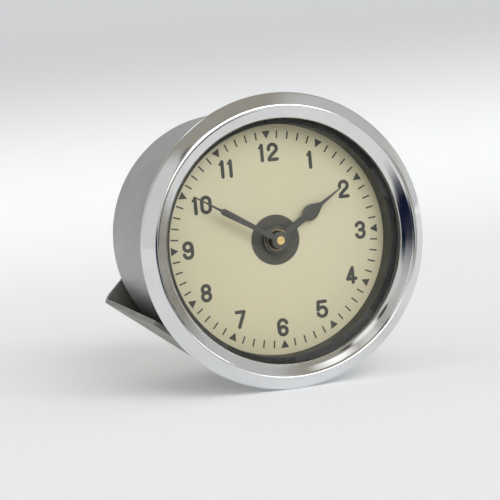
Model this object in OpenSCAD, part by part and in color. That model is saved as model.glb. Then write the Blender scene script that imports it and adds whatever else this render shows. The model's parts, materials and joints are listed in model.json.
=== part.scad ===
// Car dashboard clock, panel mounted. Millimetres.
// Drawn facing the viewer: x to three o'clock, y to twelve, z out of the dial.
// Depths are measured into the dash from the panel seat behind the bezel.
// Each drawn node is turned so that depth becomes +Y and twelve o'clock +Z.

/* [Case] */
// Radius of the barrel
case_r = 25.9; // [24:0.05:30]
// Extra radius of the band that fits the panel hole
pilot_extra = 0.3; // [0.28:0.01:0.4]
// How far that band starts in front of the panel
pilot_front = 0.3; // [0.2:0.05:0.35]
// Depth to which that band reaches
pilot_len = 5.5; // [4:0.1:5.9]
// Barrel wall
case_wall = 0.5; // [0.4:0.05:0.7]
// Depth of the case back
case_depth = 38.6; // [35:0.1:46]
// Thickness of the case back
back_t = 0.6; // [0.5:0.05:0.9]
// Rounding of the rear corner
case_corner = 0.8; // [0.6:0.1:1.5]
// How far the front rim ring stands out from the barrel
rim_w = 2.5; // [2:0.1:2.8]
// Thickness of the front rim ring
rim_t = 0.5; // [0.4:0.05:0.6]

/* [Bezel] */
// How far the bezel reaches past the barrel
bezel_over = 4.3; // [3.9:0.1:8]
// How far the flat on the panel stays inside the bezel's edge
seat_in = 0.6; // [0.3:0.05:1]
// Distance of the crest from the bezel's edge
crest_in = 2.85; // [2.4:0.05:3.4]
// Height of the crest in front of the panel
crest_rise = 3.45; // [3:0.05:5]
// Half width of the crest bead
crest_half = 0.4; // [0.25:0.05:0.6]
// How far the lip reaches inside the barrel
lip_in = 0.95; // [0.7:0.05:1.4]
// Height of the lip's nose in front of the panel
lip_rise = 1.8; // [1.6:0.05:2.1]
// Thickness of the rolled rear edge
curl_t = 0.5; // [0.4:0.05:0.55]
// Distance of the rolled rear edge from the barrel
curl_gap = 1.2; // [1.1:0.05:1.5]

/* [Glass] */
// Glass thickness
glass_t = 1.8; // [1.4:0.1:1.9]
// Gasket thickness
gasket_t = 0.3; // [0.2:0.05:0.4]

/* [Dial] */
// Distance of the dial face from the glass
dial_gap = 4.2; // [3.8:0.1:5]
// Dial plate thickness
dial_t = 0.5; // [0.3:0.05:0.6]
// Width of the shade ring at the dial
shade_rear_w = 1.55; // [1:0.05:2]
// Width of the shade ring at the glass
shade_front_w = 1.5; // [0.4:0.05:2]
// Distance of the minute ticks' middle from the shade ring
tick_in = 2.15; // [2:0.05:4]
// Distance of the numerals' circle from the ticks' middle
numeral_in = 3.6; // [3.2:0.05:5]
// Tick length
tick_l = 1.6; // [1:0.1:2]
// Tick width
tick_w = 0.3; // [0.2:0.05:0.5]
// Base width of an hour triangle
tri_w = 1.75; // [1.2:0.05:2.2]
// Height of an hour triangle
tri_h = 1.6; // [1.2:0.05:2]
// Numeral stroke
stroke = 0.72; // [0.5:0.02:0.8]
// Thickness of the printing
ink_t = 0.06; // [0.04:0.01:0.1]
// Radius of the dark centre disc
disc_r = 5.18; // [4:0.02:6]
// Thickness of the dark centre disc
disc_t = 0.16; // [0.1:0.02:0.3]
// Hole in the dial for the hour pipe
dial_hole_r = 2.6; // [2.5:0.05:3]
// Distance of the dial posts from the movement plates' edge
dial_post_in = 2; // [1.8:0.1:2.6]
// Dial post radius
dial_post_r = 1.5; // [1.2:0.1:1.7]

/* [Hands] */
// Minute hand angle at rest, clockwise from twelve
minute_angle = 301.8; // [0:0.1:360]
// Hour hand angle at rest, clockwise from twelve
hour_angle = 58; // [0:0.1:360]
// Minute hand length
minute_l = 19.9; // [18:0.1:21]
// Hour hand length
hour_l = 17.5; // [16:0.1:19]
// Thickness of the hands
hand_t = 0.35; // [0.25:0.05:0.4]
// Height of the hour hand's front above the dial
hour_up = 1.4; // [1.3:0.05:1.5]
// Height of the minute hand's front above the dial
minute_up = 3.4; // [3.2:0.05:3.5]
// Radius of the hour hand's ring
hour_boss_r = 2.9; // [2.7:0.05:3.6]
// Radius of the minute hand's collar
minute_boss_r = 1.6; // [1.5:0.05:1.9]

/* [Plates] */
// Space between the movement plates and the barrel
plate_gap = 2.4; // [1.5:0.1:2.8]
// Movement plate thickness
plate_t = 1.2; // [1:0.1:1.4]
// Space between the minute wheel and the front plate
motion_space = 1.1; // [0.9:0.05:1.4]
// Distance of the back plate's face from the case back
rear_gap = 19.6; // [19.2:0.1:20.2]
// Distance of the pillars from the movement plates' edge
pillar_in = 3; // [2.4:0.1:3.4]
// Pillar radius
pillar_r = 2; // [1.6:0.1:2.2]
// Small screw shank radius
screw_r = 0.9; // [0.7:0.05:1]
// Small screw head radius
screw_head_r = 1.7; // [1.4:0.05:1.8]
// Small screw head height
screw_head_h = 0.8; // [0.6:0.05:0.9]
// How deep a small screw reaches into its post
screw_in = 2.2; // [1.8:0.1:2.4]

/* [Motion work] */
// Module of cannon pinion and minute wheel
motion_m = 0.4; // [0.38:0.005:0.42]
// Teeth of the cannon pinion
cannon_n = 12; // [12:1:12]
// Teeth of the minute wheel
minute_wheel_n = 36; // [36:1:36]
// Teeth of the minute pinion
minute_pinion_n = 10; // [10:1:10]
// Teeth of the hour wheel
hour_wheel_n = 40; // [40:1:40]
// Wheel thickness in the motion work
motion_t = 0.8; // [0.6:0.05:0.85]
// Radius of the centre arbor
arbor_r = 1; // [0.9:0.02:1.05]
// Radius of the cannon pinion's pipe
cannon_r = 1.45; // [1.4:0.01:1.5]
// Radius of the hour wheel's brass pipe
hour_pipe_r = 2.2; // [2.1:0.01:2.25]
// Wall of the hour pipe at its open front end
pipe_mouth_w = 0.2; // [0.15:0.05:0.6]
// Depth of the hour pipe's open front end
pipe_mouth_l = 1; // [0.6:0.1:1.4]
// Direction of the minute wheel's post from the centre
minute_post_dir = -50; // [-80:1:-20]
// Radius of the minute wheel's post
minute_post_r = 0.8; // [0.6:0.02:0.9]

/* [Going train] */
// Module of the going train
train_m = 0.25; // [0.24:0.002:0.26]
// Teeth of the centre wheel
centre_n = 64; // [64:1:64]
// Teeth of the third wheel
third_n = 56; // [56:1:56]
// Leaves of the train pinions
leaf_n = 8; // [8:1:8]
// Thickness of the train wheels
train_t = 0.8; // [0.6:0.05:0.9]
// Distance of the centre wheel from the back plate
centre_gap = 2.2; // [2:0.05:2.4]
// Distance of the third wheel from the front plate
third_gap = 0.8; // [0.8:0.05:1]
// Radius of the train arbors
staff_r = 0.6; // [0.5:0.02:0.62]
// Radius of the train pivots
pivot_r = 0.4; // [0.3:0.02:0.44]
// Teeth of the index wheel
index_n = 60; // [60:1:60]
// Radius of the index wheel
index_r = 4.8; // [4.4:0.05:4.9]
// Distance of the index wheel from the back plate
index_gap = 1.8; // [1.6:0.05:2]

/* [Balance] */
// Distance of the balance staff from the case axis
balance_at = 12.8; // [12.6:0.05:13]
// Balance rim radius
balance_r = 9; // [8.6:0.05:9.1]
// Width of the balance rim
balance_rim = 1.3; // [1:0.1:1.6]
// Distance of the balance rim from the back plate
balance_gap = 5.8; // [5.5:0.1:6.2]
// Thickness of the balance rim
balance_t = 3; // [2.4:0.1:3.2]
// Radius of the balance staff
balance_staff_r = 0.9; // [0.8:0.02:1]
// Radius of the balance pivots
balance_pivot_r = 0.5; // [0.4:0.02:0.6]
// Reach of the drive pin from the staff
pin_reach = 1.9; // [1.7:0.05:1.95]
// Radius of the drive pin
pin_r = 0.3; // [0.25:0.01:0.32]
// Offset of the index wheel from the balance staff, across the clamp
index_side = 0.8; // [0:0.1:1.2]
// Gap from the drive pin's path to the index wheel
pin_gap = 0.35; // [0.3:0.01:0.5]
// Outer radius of the hairspring
hair_r = 5.2; // [4.6:0.1:5.4]
// Turns of the hairspring
hair_turns = 6; // [5:1:7]
// Hairspring strip thickness
hair_t = 0.14; // [0.1:0.01:0.16]
// Distance of the balance bridge from the back plate
bridge_gap = 11.8; // [11.4:0.1:12.4]
// Thickness of the balance bridge
bridge_t = 1.6; // [1.2:0.1:1.8]
// Distance of the bridge posts from the movement plates' edge
bridge_post_in = 1.75; // [1.6:0.05:2]
// Direction of a bridge post, from the balance's side
bridge_post_dir = 41; // [38:0.5:46]

/* [Magnet] */
// Distance of the coil axis from the case axis
coil_at = 12.5; // [12:0.1:12.8]
// Distance of the coil axis from the back plate
coil_gap = 7.3; // [7:0.1:7.6]
// Radius of the magnet core
core_r = 2; // [1.8:0.05:2.2]
// Half length of the coil former
coil_half = 6.4; // [6:0.1:6.4]
// Radius of the former's cheeks
cheek_r = 5.4; // [5:0.1:5.6]
// Thickness of the former's cheeks
cheek_t = 0.8; // [0.6:0.1:1]
// Radius of the winding
winding_r = 4.9; // [4.5:0.1:4.95]
// Clearance between the former and a pole arm
arm_gap = 0.1; // [0.05:0.05:0.2]
// Thickness of a pole arm
arm_t = 3; // [2.6:0.1:3.2]
// Width of a pole arm along the depth
arm_w = 5; // [4.4:0.1:5.2]
// Air gap between pole arm and balance rim
pole_gap = 0.45; // [0.4:0.01:0.7]
// Position of the magnet posts across the clamp
magnet_post_s = 3.5; // [3.2:0.1:4.5]
// Radius of the magnet posts
magnet_post_r = 1.4; // [1.3:0.05:1.45]

/* [Contacts] */
// Length of the contact block along the clamp
block_n = 4.5; // [4:0.1:4.8]
// Width of the contact block
block_s = 4.4; // [4:0.1:4.6]
// Height of the contact block
block_h = 5.8; // [5.6:0.1:6.2]
// Contact blade thickness
blade_t = 0.2; // [0.15:0.01:0.25]
// Contact blade width
blade_w = 1.6; // [1.2:0.1:1.8]
// Distance of the contact blade from the balance staff
blade_side = 3.2; // [3:0.1:3.6]
// Position of the contact block's middle along the clamp
block_mid = 15.2; // [14.8:0.1:15.6]
// Position of the leads' outer run along the clamp
lead_n = 19; // [18.6:0.1:19.6]
// Radius of the lead wires
wire_r = 0.45; // [0.3:0.05:0.5]

/* [Terminal] */
// Distance of the supply terminal from the barrel's inside
terminal_in = 5; // [4.8:0.05:5.4]
// Radius of the terminal stud
terminal_r = 1.5; // [1.45:0.05:1.6]
// Radius of the terminal's free end
terminal_tip_r = 1.2; // [1.1:0.05:1.25]
// Length of the terminal's free end
terminal_tip_l = 4.2; // [3.6:0.1:8]
// Wall of the insulating sleeve through the case back
sleeve_t = 0.8; // [0.6:0.05:1]
// Radius of the insulating collars
collar_r = 3.3; // [3.1:0.05:3.4]
// Height of the outer insulating collar
collar_t = 2.2; // [1.8:0.1:2.6]
// Height of the inner insulating collar
collar_in = 1.6; // [1.4:0.1:2]
// Width across flats of the terminal nuts
terminal_nut_af = 5; // [4.6:0.1:5.2]
// Height of a terminal nut
terminal_nut_h = 2.2; // [1.8:0.1:2.4]

/* [Clamp] */
// Direction of the clamp's upper leg, clockwise from twelve
clamp_angle = 38; // [0:1:90]
// Distance of a mounting stud from the case axis
stud_at = 14; // [13.5:0.1:14.4]
// Mounting stud radius
stud_r = 2; // [1.9:0.05:2.1]
// How far the mounting studs stand out of the case back
stud_out = 18.4; // [16:0.1:26]
// Case nut width across flats
case_nut_af = 7; // [6.6:0.1:7.4]
// Case nut height
case_nut_h = 1.8; // [1.6:0.1:2.2]
// Clamp strip thickness
strip_t = 1; // [0.8:0.05:1.6]
// Reach of a leg to its far side, at the bend
far_rear = 14.8; // [13:0.1:16]
// Reach of a leg to its far side, at its front end
far_front = 12.7; // [11:0.1:15]
// Reach of a leg to its near side, at the bend
near_rear = 8; // [7:0.1:12]
// Reach of a leg to its near side, at its front end
near_front = 6; // [5:0.1:8]
// Gap from the barrel to a leg at the bridge
leg_gap_rear = 0.4; // [0.35:0.05:1]
// Gap from the barrel to a leg at its front end
leg_gap_front = 1.2; // [1:0.05:2.5]
// Depth of the legs' front ends
leg_front = 6; // [6:0.1:12]
// Inside bend radius of the strip
bend_r = 1; // [0.8:0.1:1.4]
// Washer thickness
washer_t = 0.7; // [0.5:0.05:1]
// Washer and nut radius
nut_r = 5; // [4.6:0.1:5.4]
// Knurled nut height
nut_h = 5; // [4:0.1:6]

/* [Setting knob] */
// Radius of the arbor's bush in the case back
bush_r = 2.4; // [2.2:0.05:2.6]
// Height of the bush's flange behind the case back
bush_t = 0.8; // [0.6:0.05:1]
// Knob radius
knob_r = 5.2; // [4.8:0.1:5.4]
// Distance of the knob's head from the case back
knob_out = 5; // [4.6:0.1:8]
// Height of the knob's head
knob_h = 7; // [5:0.1:8]
// Knob neck radius
knob_neck_r = 2.6; // [2.4:0.1:3]
// Radius of the knob's grub screw
grub_r = 0.8; // [0.6:0.05:0.9]

/* [Clearances] */
// Between pieces assembled tight, radial
slip = 0.02; // [0.01:0.01:0.04]
// Running fit, radial
run = 0.05; // [0.02:0.01:0.08]
// End shake and general clearance between moving pieces
shake = 0.3; // [0.25:0.05:0.35]
// Round the clamp's studs and knob
clear = 0.4; // [0.3:0.05:0.6]
// Flat faces of different bodies
face_gap = 0.1; // [0.05:0.01:0.2]

/* [Hidden] */
$fn = 64;
// Radii outside the barrel
pilot_r = case_r + pilot_extra;
rim_r = case_r + rim_w;
curl_r = case_r + curl_gap;
bezel_r = case_r + bezel_over;
bezel_seat_r = bezel_r - seat_in;
crest_r = bezel_r - crest_in;
lip_r = case_r - lip_in;
leg_in_rear = case_r + leg_gap_rear;
leg_in_front = case_r + leg_gap_front;
// Radii inside the barrel
case_in = case_r - case_wall;
glass_r = case_in - face_gap;
shade_front_r = glass_r - shade_front_w;
dial_show_r = glass_r - shade_rear_w;
tick_r = dial_show_r - tick_in;
numeral_r = tick_r - numeral_in;
plate_r = case_in - plate_gap;
pillar_at = plate_r - pillar_in;
dial_post_at = plate_r - dial_post_in;
terminal_at = case_in - terminal_in;
bridge_post_s = -(plate_r - bridge_post_in) * cos(bridge_post_dir);
bridge_post_n = (plate_r - bridge_post_in) * sin(bridge_post_dir);
// Distance of a pole arm's inner face from the coil middle
arm_n = coil_half + arm_gap;
// Depths from the front
rim_front = curl_t + rim_t;
gasket_front = rim_front + gasket_t;
glass_rear = glass_t - rim_front;
dial_y = glass_rear + dial_gap;
dial_rear = dial_y + dial_t;
hour_face = dial_y - hour_up;
pipe_front = hour_face - 0.15;
minute_face = dial_y - minute_up;
arbor_front = minute_face - 0.3;
hour_wheel_y = dial_rear + clear;
minute_wheel_y = hour_wheel_y + motion_t + clear;
front_y = minute_wheel_y + motion_t + motion_space;
front_rear = front_y + plate_t;
third_y = front_rear + third_gap;
// Depths from the case back
back_in = case_depth - back_t;
rear_y = case_depth - rear_gap;
rear_rear = rear_y + plate_t;
centre_y = rear_y - centre_gap;
index_y = rear_rear + index_gap;
balance_y = rear_rear + balance_gap;
bridge_y = rear_rear + bridge_gap;
coil_y = rear_rear + coil_gap;
arm_in = coil_y - arm_w / 2;
arm_out = coil_y + arm_w / 2;
blade_y = index_y + train_t + 0.6;
lead_y = coil_y - cheek_r - slip - wire_r;
bridge_front = case_depth + case_nut_h + 2 * face_gap;
bridge_rear = bridge_front + strip_t;
nut_y = bridge_rear + washer_t + face_gap;
knob_y = case_depth + knob_out;
knob_end = knob_y + knob_h;
arbor_end = knob_end - 1.2;
stud_end = case_depth + stud_out;
terminal_nut_y = case_depth + collar_t;
terminal_tip_y = terminal_nut_y + 2 * (terminal_nut_h + slip) + 0.06;
terminal_end = terminal_tip_y + terminal_tip_l;
// Gear centres
wheel_k = 0.80;
pinion_k = 0.72;
motion_c = motion_m * (cannon_n + minute_wheel_n) / 2;
motion_pos = [motion_c * cos(minute_post_dir), motion_c * sin(minute_post_dir)];
hour_m = 2 * motion_c / (minute_pinion_n + hour_wheel_n);
third_c = train_m * (centre_n + leaf_n) / 2;
index_c = train_m * (third_n + leaf_n) / 2;
pin_path = pin_reach + pin_r;
index_to_staff = index_r + pin_gap + pin_path;
index_pos = [index_side - balance_at, -sqrt(pow(index_to_staff, 2) - pow(index_side, 2))];
index_d = norm(index_pos);
third_a = (third_c * third_c - index_c * index_c + index_d * index_d) / (2 * index_d);
third_h = sqrt(third_c * third_c - third_a * third_a);
index_u = index_pos / index_d;
third_pos = [third_a * index_u[0] - third_h * index_u[1], third_a * index_u[1] + third_h * index_u[0]];
third_dir = atan2(third_pos[1], third_pos[0]);
index_dir = atan2(index_pos[1] - third_pos[1], index_pos[0] - third_pos[0]);
staff_pos = [-balance_at, 0];
hair_end = atan2(bridge_post_n, bridge_post_s + balance_at);
block_left = blade_t + staff_pos[0] + blade_side;
bend_o = bend_r + strip_t;
bend_at = leg_in_rear - bend_r;
post_dirs = [60, 180, 300];
dial_dirs = [45, 165, 285];

// Tools

module rod(r, d0, d1) translate([0, 0, -d1]) cylinder(r = r, h = d1 - d0);

module tube(ro, ri, d0, d1) difference() {
    rod(ro, d0, d1);
    rod(ri, d0 - 1, d1 + 1);
}

module turned(pts) rotate_extrude() polygon([for (p = pts) [p[0], -p[1]]]);

module hexagon(af, d0, d1) translate([0, 0, -d1]) cylinder(r = af / 2 / cos(30), h = d1 - d0, $fn = 6);

module slab(s0, s1, n0, n1, d0, d1) translate([s0, n0, -d1]) cube([s1 - s0, n1 - n0, d1 - d0]);

module along_n(r, s, d, n0, n1) translate([s, n1, -d]) rotate([90, 0, 0]) cylinder(r = r, h = n1 - n0);

module along_s(r, n, d, s0, s1) translate([s0, n, -d]) rotate([0, 90, 0]) cylinder(r = r, h = s1 - s0);

function backward(v) = [for (i = [len(v) - 1:-1:0]) v[i]];

module rear_frame() rotate([0, 0, -clamp_angle]) children();

module at(p) translate([p[0], p[1], 0]) children();

module both() for (k = [-1, 1]) translate([0, k * stud_at, 0]) children();

module bridge_places() for (k = [-1, 1]) at([bridge_post_s, k * bridge_post_n]) children();

module magnet_places() for (k = [-1, 1]) at([magnet_post_s, k * (arm_n + arm_t / 2)]) children();

module around(dirs, r) for (a = dirs) rotate([0, 0, a]) translate([r, 0, 0]) children();

module screw_back(d, l) {
    rod(screw_head_r, d, d + screw_head_h);
    rod(screw_r, d - l, d + screw_head_h / 2);
}

module screw_front(d, l) {
    rod(screw_head_r, d - screw_head_h, d);
    rod(screw_r, d - screw_head_h / 2, d + l);
}

function tooth(a, pr, m, k) = let(rr = pr - 1.1 * m, rt = pr + 0.7 * m, t = PI * m / 2 * k * 90 / PI)
    [for (q = [[rr, -1.1], [pr, -1], [rt, -0.4], [rt, 0.4], [pr, 1], [rr, 1.1]])
        let(b = a + q[1] * t / q[0]) [q[0] * cos(b), q[0] * sin(b)]];

function gear_pts(n, m, phase, k) = [for (i = [0:n - 1]) each tooth(phase + i * 360 / n, m * n / 2, m, k)];

function mesh_phase(dir, n1, phase1, n2) =
    dir + 180 - (0.5 - (dir - phase1) * n1 / 360) * 360 / n2;

module gear(n, m, phase, k, d0, d1) translate([0, 0, -d1])
    linear_extrude(d1 - d0) polygon(gear_pts(n, m, phase, k));

module knurled(r, cut, n, d0, d1) translate([0, 0, -d1]) linear_extrude(d1 - d0)
    polygon([for (i = [0:2 * n - 1]) let(q = i % 2 == 0 ? r : r - cut, a = i * 180 / n)
        [q * cos(a), q * sin(a)]]);

// Front

module bezel() color("silver") turned([[curl_r, 0], [bezel_seat_r, 0], [bezel_r - seat_in / 5, -0.25],
    [bezel_r, -0.6], [bezel_r, -1.1], [bezel_r - 0.2, -1.5], [crest_r + crest_half + 0.9, 0.95 - crest_rise],
    [crest_r + crest_half + 0.1, 0.42 - crest_rise], [crest_r + crest_half, 0.25 - crest_rise],
    [crest_r + crest_half / 2, 0.04 - crest_rise], [crest_r, -crest_rise],
    [crest_r - crest_half / 2, 0.04 - crest_rise], [crest_r - crest_half, 0.25 - crest_rise],
    [crest_r - crest_half - 0.1, 0.42 - crest_rise],
    [lip_r + 0.65, -lip_rise - 0.42], [lip_r + 0.2, -lip_rise - 0.12], [lip_r, -lip_rise + 0.1],
    [lip_r + 0.05, -gasket_front], [rim_r + 0.1, -gasket_front], [rim_r + 0.1, -curl_t], [curl_r, -curl_t]]);

module glass() color([0.8, 0.9, 0.9, 0.35]) rod(glass_r, -rim_front, glass_rear);

module glass_gasket() color("dimgray") tube(rim_r, lip_r + 0.07, -gasket_front, -rim_front);

module case_rim() color("gray") tube(rim_r, case_r + slip, -rim_front, -curl_t);

module case_shell() color("lightgray") difference() {
    turned([[case_in, -rim_front], [case_r, -rim_front], [case_r, -pilot_front - 0.1],
        [pilot_r, -pilot_front], [pilot_r, pilot_len], [case_r, pilot_len + pilot_extra],
        [case_r, case_depth - case_corner], [case_r - case_corner * 0.134, case_depth - case_corner / 2],
        [case_r - case_corner / 2, case_depth - case_corner * 0.134], [case_r - case_corner, case_depth],
        [0, case_depth], [0, back_in], [case_in - case_corner / 2, back_in],
        [case_in, back_in - case_corner / 2]]);
    rod(bush_r + slip, back_in - 1, case_depth + 1);
    rear_frame() {
        both() rod(stud_r + slip, back_in - 1, case_depth + 1);
        at([terminal_at, 0]) rod(terminal_r + sleeve_t + slip, back_in - 1, case_depth + 1);
    }
}

module shade_ring() color([0.15, 0.15, 0.14]) turned([[shade_front_r, glass_rear], [glass_r, glass_rear],
    [glass_r, dial_y], [dial_show_r, dial_y], [dial_show_r, dial_y - 0.15]]);

module dial_plate() color([0.82, 0.8, 0.67]) tube(glass_r, dial_hole_r, dial_y, dial_rear);

module dial_centre() color([0.3, 0.3, 0.28]) tube(disc_r, dial_hole_r, dial_y - disc_t, dial_y);

module bar(p, q, w) translate(p) rotate(atan2(q[1] - p[1], q[0] - p[0])) translate([0, -w / 2])
    square([norm(q - p), w]);

module dot(p, w) translate(p) circle(r = w / 2, $fn = 12);

module line(pts) {
    for (i = [0:len(pts) - 2]) bar(pts[i], pts[i + 1], stroke);
    for (p = pts) dot(p, stroke);
}

module arc(c, r, a0, a1) {
    n = ceil(abs(a1 - a0) / 20);
    polygon(concat([for (i = [0:n]) let(a = a0 + (a1 - a0) * i / n) c + (r + stroke / 2) * [cos(a), sin(a)]],
        [for (i = [n:-1:0]) let(a = a0 + (a1 - a0) * i / n) c + (r - stroke / 2) * [cos(a), sin(a)]]));
    for (a = [a0, a1]) dot(c + r * [cos(a), sin(a)], stroke);
}

module loop(c, r) translate(c) difference() {
    circle(r = r + stroke / 2, $fn = 24);
    circle(r = r - stroke / 2, $fn = 24);
}

module digit(d) {
    if (d == 0) {
        arc([0, 0.68], 0.87, 0, 180);
        arc([0, -0.68], 0.87, 180, 360);
        for (k = [-1, 1]) bar([k * 0.87, -0.68], [k * 0.87, 0.68], stroke);
    }
    if (d == 1) {
        line([[0, -1.55], [0, 1.55]]);
        polygon([[-0.8, 0.98], [-0.2, 1.75], [0, 0.82], [-0.7, 0.82]]);
    }
    if (d == 2) {
        arc([0, 0.7], 0.86, -35, 190);
        line([[0.7, 0.2], [-0.2, -0.55], [-0.7, -1.05], [-0.87, -1.54], [0.88, -1.54]]);
    }
    if (d == 3) {
        arc([0.02, 0.74], 0.8, -75, 165);
        arc([0, -0.7], 0.85, -165, 75);
        line([[-0.1, 0.02], [0.3, 0.02]]);
    }
    if (d == 4) line([[0.3, -1.55], [0.3, 1.5], [-0.9, -0.75], [0.95, -0.75]]);
    if (d == 5) {
        line([[0.88, 1.52], [-0.72, 1.52], [-0.86, -0.12]]);
        arc([0.02, -0.58], 0.96, -160, 152);
    }
    if (d == 6 || d == 9) rotate(d == 9 ? 180 : 0) {
        loop([0.02, -0.72], 0.82);
        arc([0.02, 0.66], 0.88, 12, 180);
        bar([-0.84, -0.72], [-0.86, 0.66], stroke);
    }
    if (d == 7) line([[-0.82, 1.54], [0.84, 1.54], [-0.38, -1.56]]);
    if (d == 8) {
        loop([0, 0.76], 0.76);
        loop([0, -0.72], 0.83);
    }
}

// Each numeral's shift outward and clockwise from its place, its digits' spacing and its digits
numerals = [[0, -0.08, 2.33, [1, 2]], [0.03, 0.04, 0, [1]], [0.1, 0.25, 0, [2]], [0.65, 0.05, 0, [3]],
    [0.33, 0.04, 0, [4]], [-0.27, 0.15, 0, [5]], [0.17, 0.1, 0, [6]], [-0.12, 0.07, 0, [7]],
    [0.27, -0.04, 0, [8]], [0.75, -0.1, 0, [9]], [-0.44, -0.06, 2.23, [1, 0]], [-0.02, -0.08, 1.78, [1, 1]]];

module numeral(i) let(n = numerals[i], a = 30 * i, r = numeral_r + n[0])
    translate([r * sin(a) + n[1] * cos(a), r * cos(a) - n[1] * sin(a)])
        for (k = [0:len(n[3]) - 1]) translate([(k - (len(n[3]) - 1) / 2) * n[2], 0]) digit(n[3][k]);

module dial_print() color([0.33, 0.33, 0.3]) translate([0, 0, -dial_y]) linear_extrude(ink_t) {
    for (i = [0:59]) rotate(-6 * i) translate([0, tick_r]) if (i % 5 == 0)
        polygon([[-tri_w / 2, tri_h / 2], [0, -tri_h / 2], [tri_w / 2, tri_h / 2]]);
    else
        square([tick_w, tick_l], center = true);
    for (i = [0:11]) numeral(i);
}

module dial_posts() color("peru") around(dial_dirs, dial_post_at) difference() {
    rod(dial_post_r, dial_rear, front_y);
    rod(screw_r * 0.75 + slip, front_y - 2, front_y + 1);
}

module dial_screws() color("lightgray") around(dial_dirs, dial_post_at) {
    rod(screw_head_r, front_rear, front_rear + screw_head_h);
    rod(screw_r * 0.75, front_y - 1.8, front_rear + screw_head_h / 2);
}

// Plates

module front_plate() color("goldenrod") difference() {
    rod(plate_r, front_y, front_rear);
    rod(arbor_r + run, front_y - 1, front_rear + 1);
    around(dial_dirs, dial_post_at) rod(screw_r * 0.75 + slip, front_y - 1, front_rear + 1);
    rear_frame() {
        around(post_dirs, pillar_at) rod(screw_r + slip, front_y - 1, front_rear + 1);
        at(third_pos) rod(pivot_r + run, front_y - 1, front_rear + 1);
        at(index_pos) rod(pivot_r + run, front_y - 1, front_rear + 1);
    }
}

module back_plate() color("goldenrod") difference() {
    rod(plate_r, rear_y, rear_rear);
    rod(arbor_r + run, rear_y - 1, rear_rear + 1);
    rear_frame() {
        around(post_dirs, pillar_at) rod(screw_r + slip, rear_y - 1, rear_rear + 1);
        at(third_pos) rod(pivot_r + run, rear_y - 1, rear_rear + 1);
        at(index_pos) rod(staff_r + run, rear_y - 1, rear_rear + 1);
        at(staff_pos) rod(balance_pivot_r + run, rear_y - 1, rear_rear + 1);
        both() rod(screw_r + slip, rear_y - 1, rear_rear + 1);
    }
}

module pillars() color("peru") rear_frame() around(post_dirs, pillar_at) difference() {
    rod(pillar_r, front_rear, rear_y);
    rod(screw_r + slip, front_rear - 1, front_rear + screw_in + shake);
    rod(screw_r + slip, rear_y - screw_in - shake, rear_y + 1);
}

module movement_screws() color("lightgray") rear_frame() {
    around(post_dirs, pillar_at) {
        screw_front(front_y, plate_t + screw_in);
        screw_back(rear_rear, plate_t + screw_in);
    }
    both() screw_front(rear_y, plate_t + screw_in);
    bridge_places() screw_back(bridge_y + bridge_t, bridge_t + screw_in);
}

module case_posts() color("peru") rear_frame() both() difference() {
    rod(stud_r + 1, rear_rear, back_in);
    rod(screw_r + slip, rear_rear - 1, rear_rear + screw_in + shake);
    rod(stud_r + slip, back_in - 8, back_in + 1);
}

module minute_post() color("lightgray") at(motion_pos) {
    rod(minute_post_r, dial_rear + shake, front_y);
    rod(minute_post_r * 2, minute_wheel_y + motion_t + shake, front_y);
}

// Hands and motion work

module blade(pts, d0, d1) translate([0, 0, -d1]) linear_extrude(d1 - d0)
    polygon(concat([for (p = pts) [-p[1], p[0]]], [for (i = [len(pts) - 1:-1:0]) [pts[i][1], pts[i][0]]]));

module minute_hand() color([0.3, 0.3, 0.28]) rotate([0, 0, -minute_angle]) difference() {
    union() {
        blade([[0, 0.75], [1.5, 0.7], [6, 0.53], [minute_l - 6.5, 0.69], [minute_l - 5.5, 0.24],
            [minute_l, 0.14]], minute_face, minute_face + hand_t);
        rod(minute_boss_r, minute_face - 0.15, minute_face + hand_t + 0.2);
    }
    rod(arbor_r + slip, minute_face - 1, minute_face + 2);
}

module hour_hand() color([0.3, 0.3, 0.28]) rotate([0, 0, -hour_angle]) difference() {
    union() {
        blade([[2.3, 1.25], [4.5, 0.72], [6.4, 0.65], [7.6, 0.85], [8.4, 1.28], [9.3, 1.54], [10, 1.5],
            [10.8, 1.16], [11.6, 0.72], [12.8, 0.34], [14.4, 0.24], [hour_l, 0.14]],
            hour_face, hour_face + hand_t);
        rod(hour_boss_r, hour_face, hour_face + hand_t);
    }
    rod(hour_pipe_r + slip, hour_face - 1, hour_face + 2);
}

module centre_arbor() color("gold") rod(arbor_r, arbor_front, arbor_end);

module cannon_pinion() color("goldenrod") difference() {
    union() {
        rod(cannon_r, minute_face + hand_t + 0.25, front_y - clear);
        gear(cannon_n, motion_m, 0, pinion_k, minute_wheel_y, minute_wheel_y + motion_t);
    }
    rod(arbor_r + slip, 0, front_y);
}

module hour_wheel() color("gold") difference() {
    union() {
        rod(hour_pipe_r, pipe_front, hour_wheel_y + motion_t / 2);
        gear(hour_wheel_n, hour_m, 0, wheel_k, hour_wheel_y, hour_wheel_y + motion_t);
    }
    rod(cannon_r + run, 0, front_y);
    rod(hour_pipe_r - pipe_mouth_w, 0, pipe_front + pipe_mouth_l);
}

module minute_wheel() color("goldenrod") at(motion_pos) difference() {
    union() {
        gear(minute_wheel_n, motion_m, mesh_phase(minute_post_dir, cannon_n, 0, minute_wheel_n), wheel_k,
            minute_wheel_y, minute_wheel_y + motion_t);
        gear(minute_pinion_n, hour_m, mesh_phase(minute_post_dir, hour_wheel_n, 0, minute_pinion_n), pinion_k,
            dial_rear + shake, minute_wheel_y + motion_t / 2);
    }
    rod(minute_post_r + run, dial_y, front_y);
}

// Going train

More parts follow.
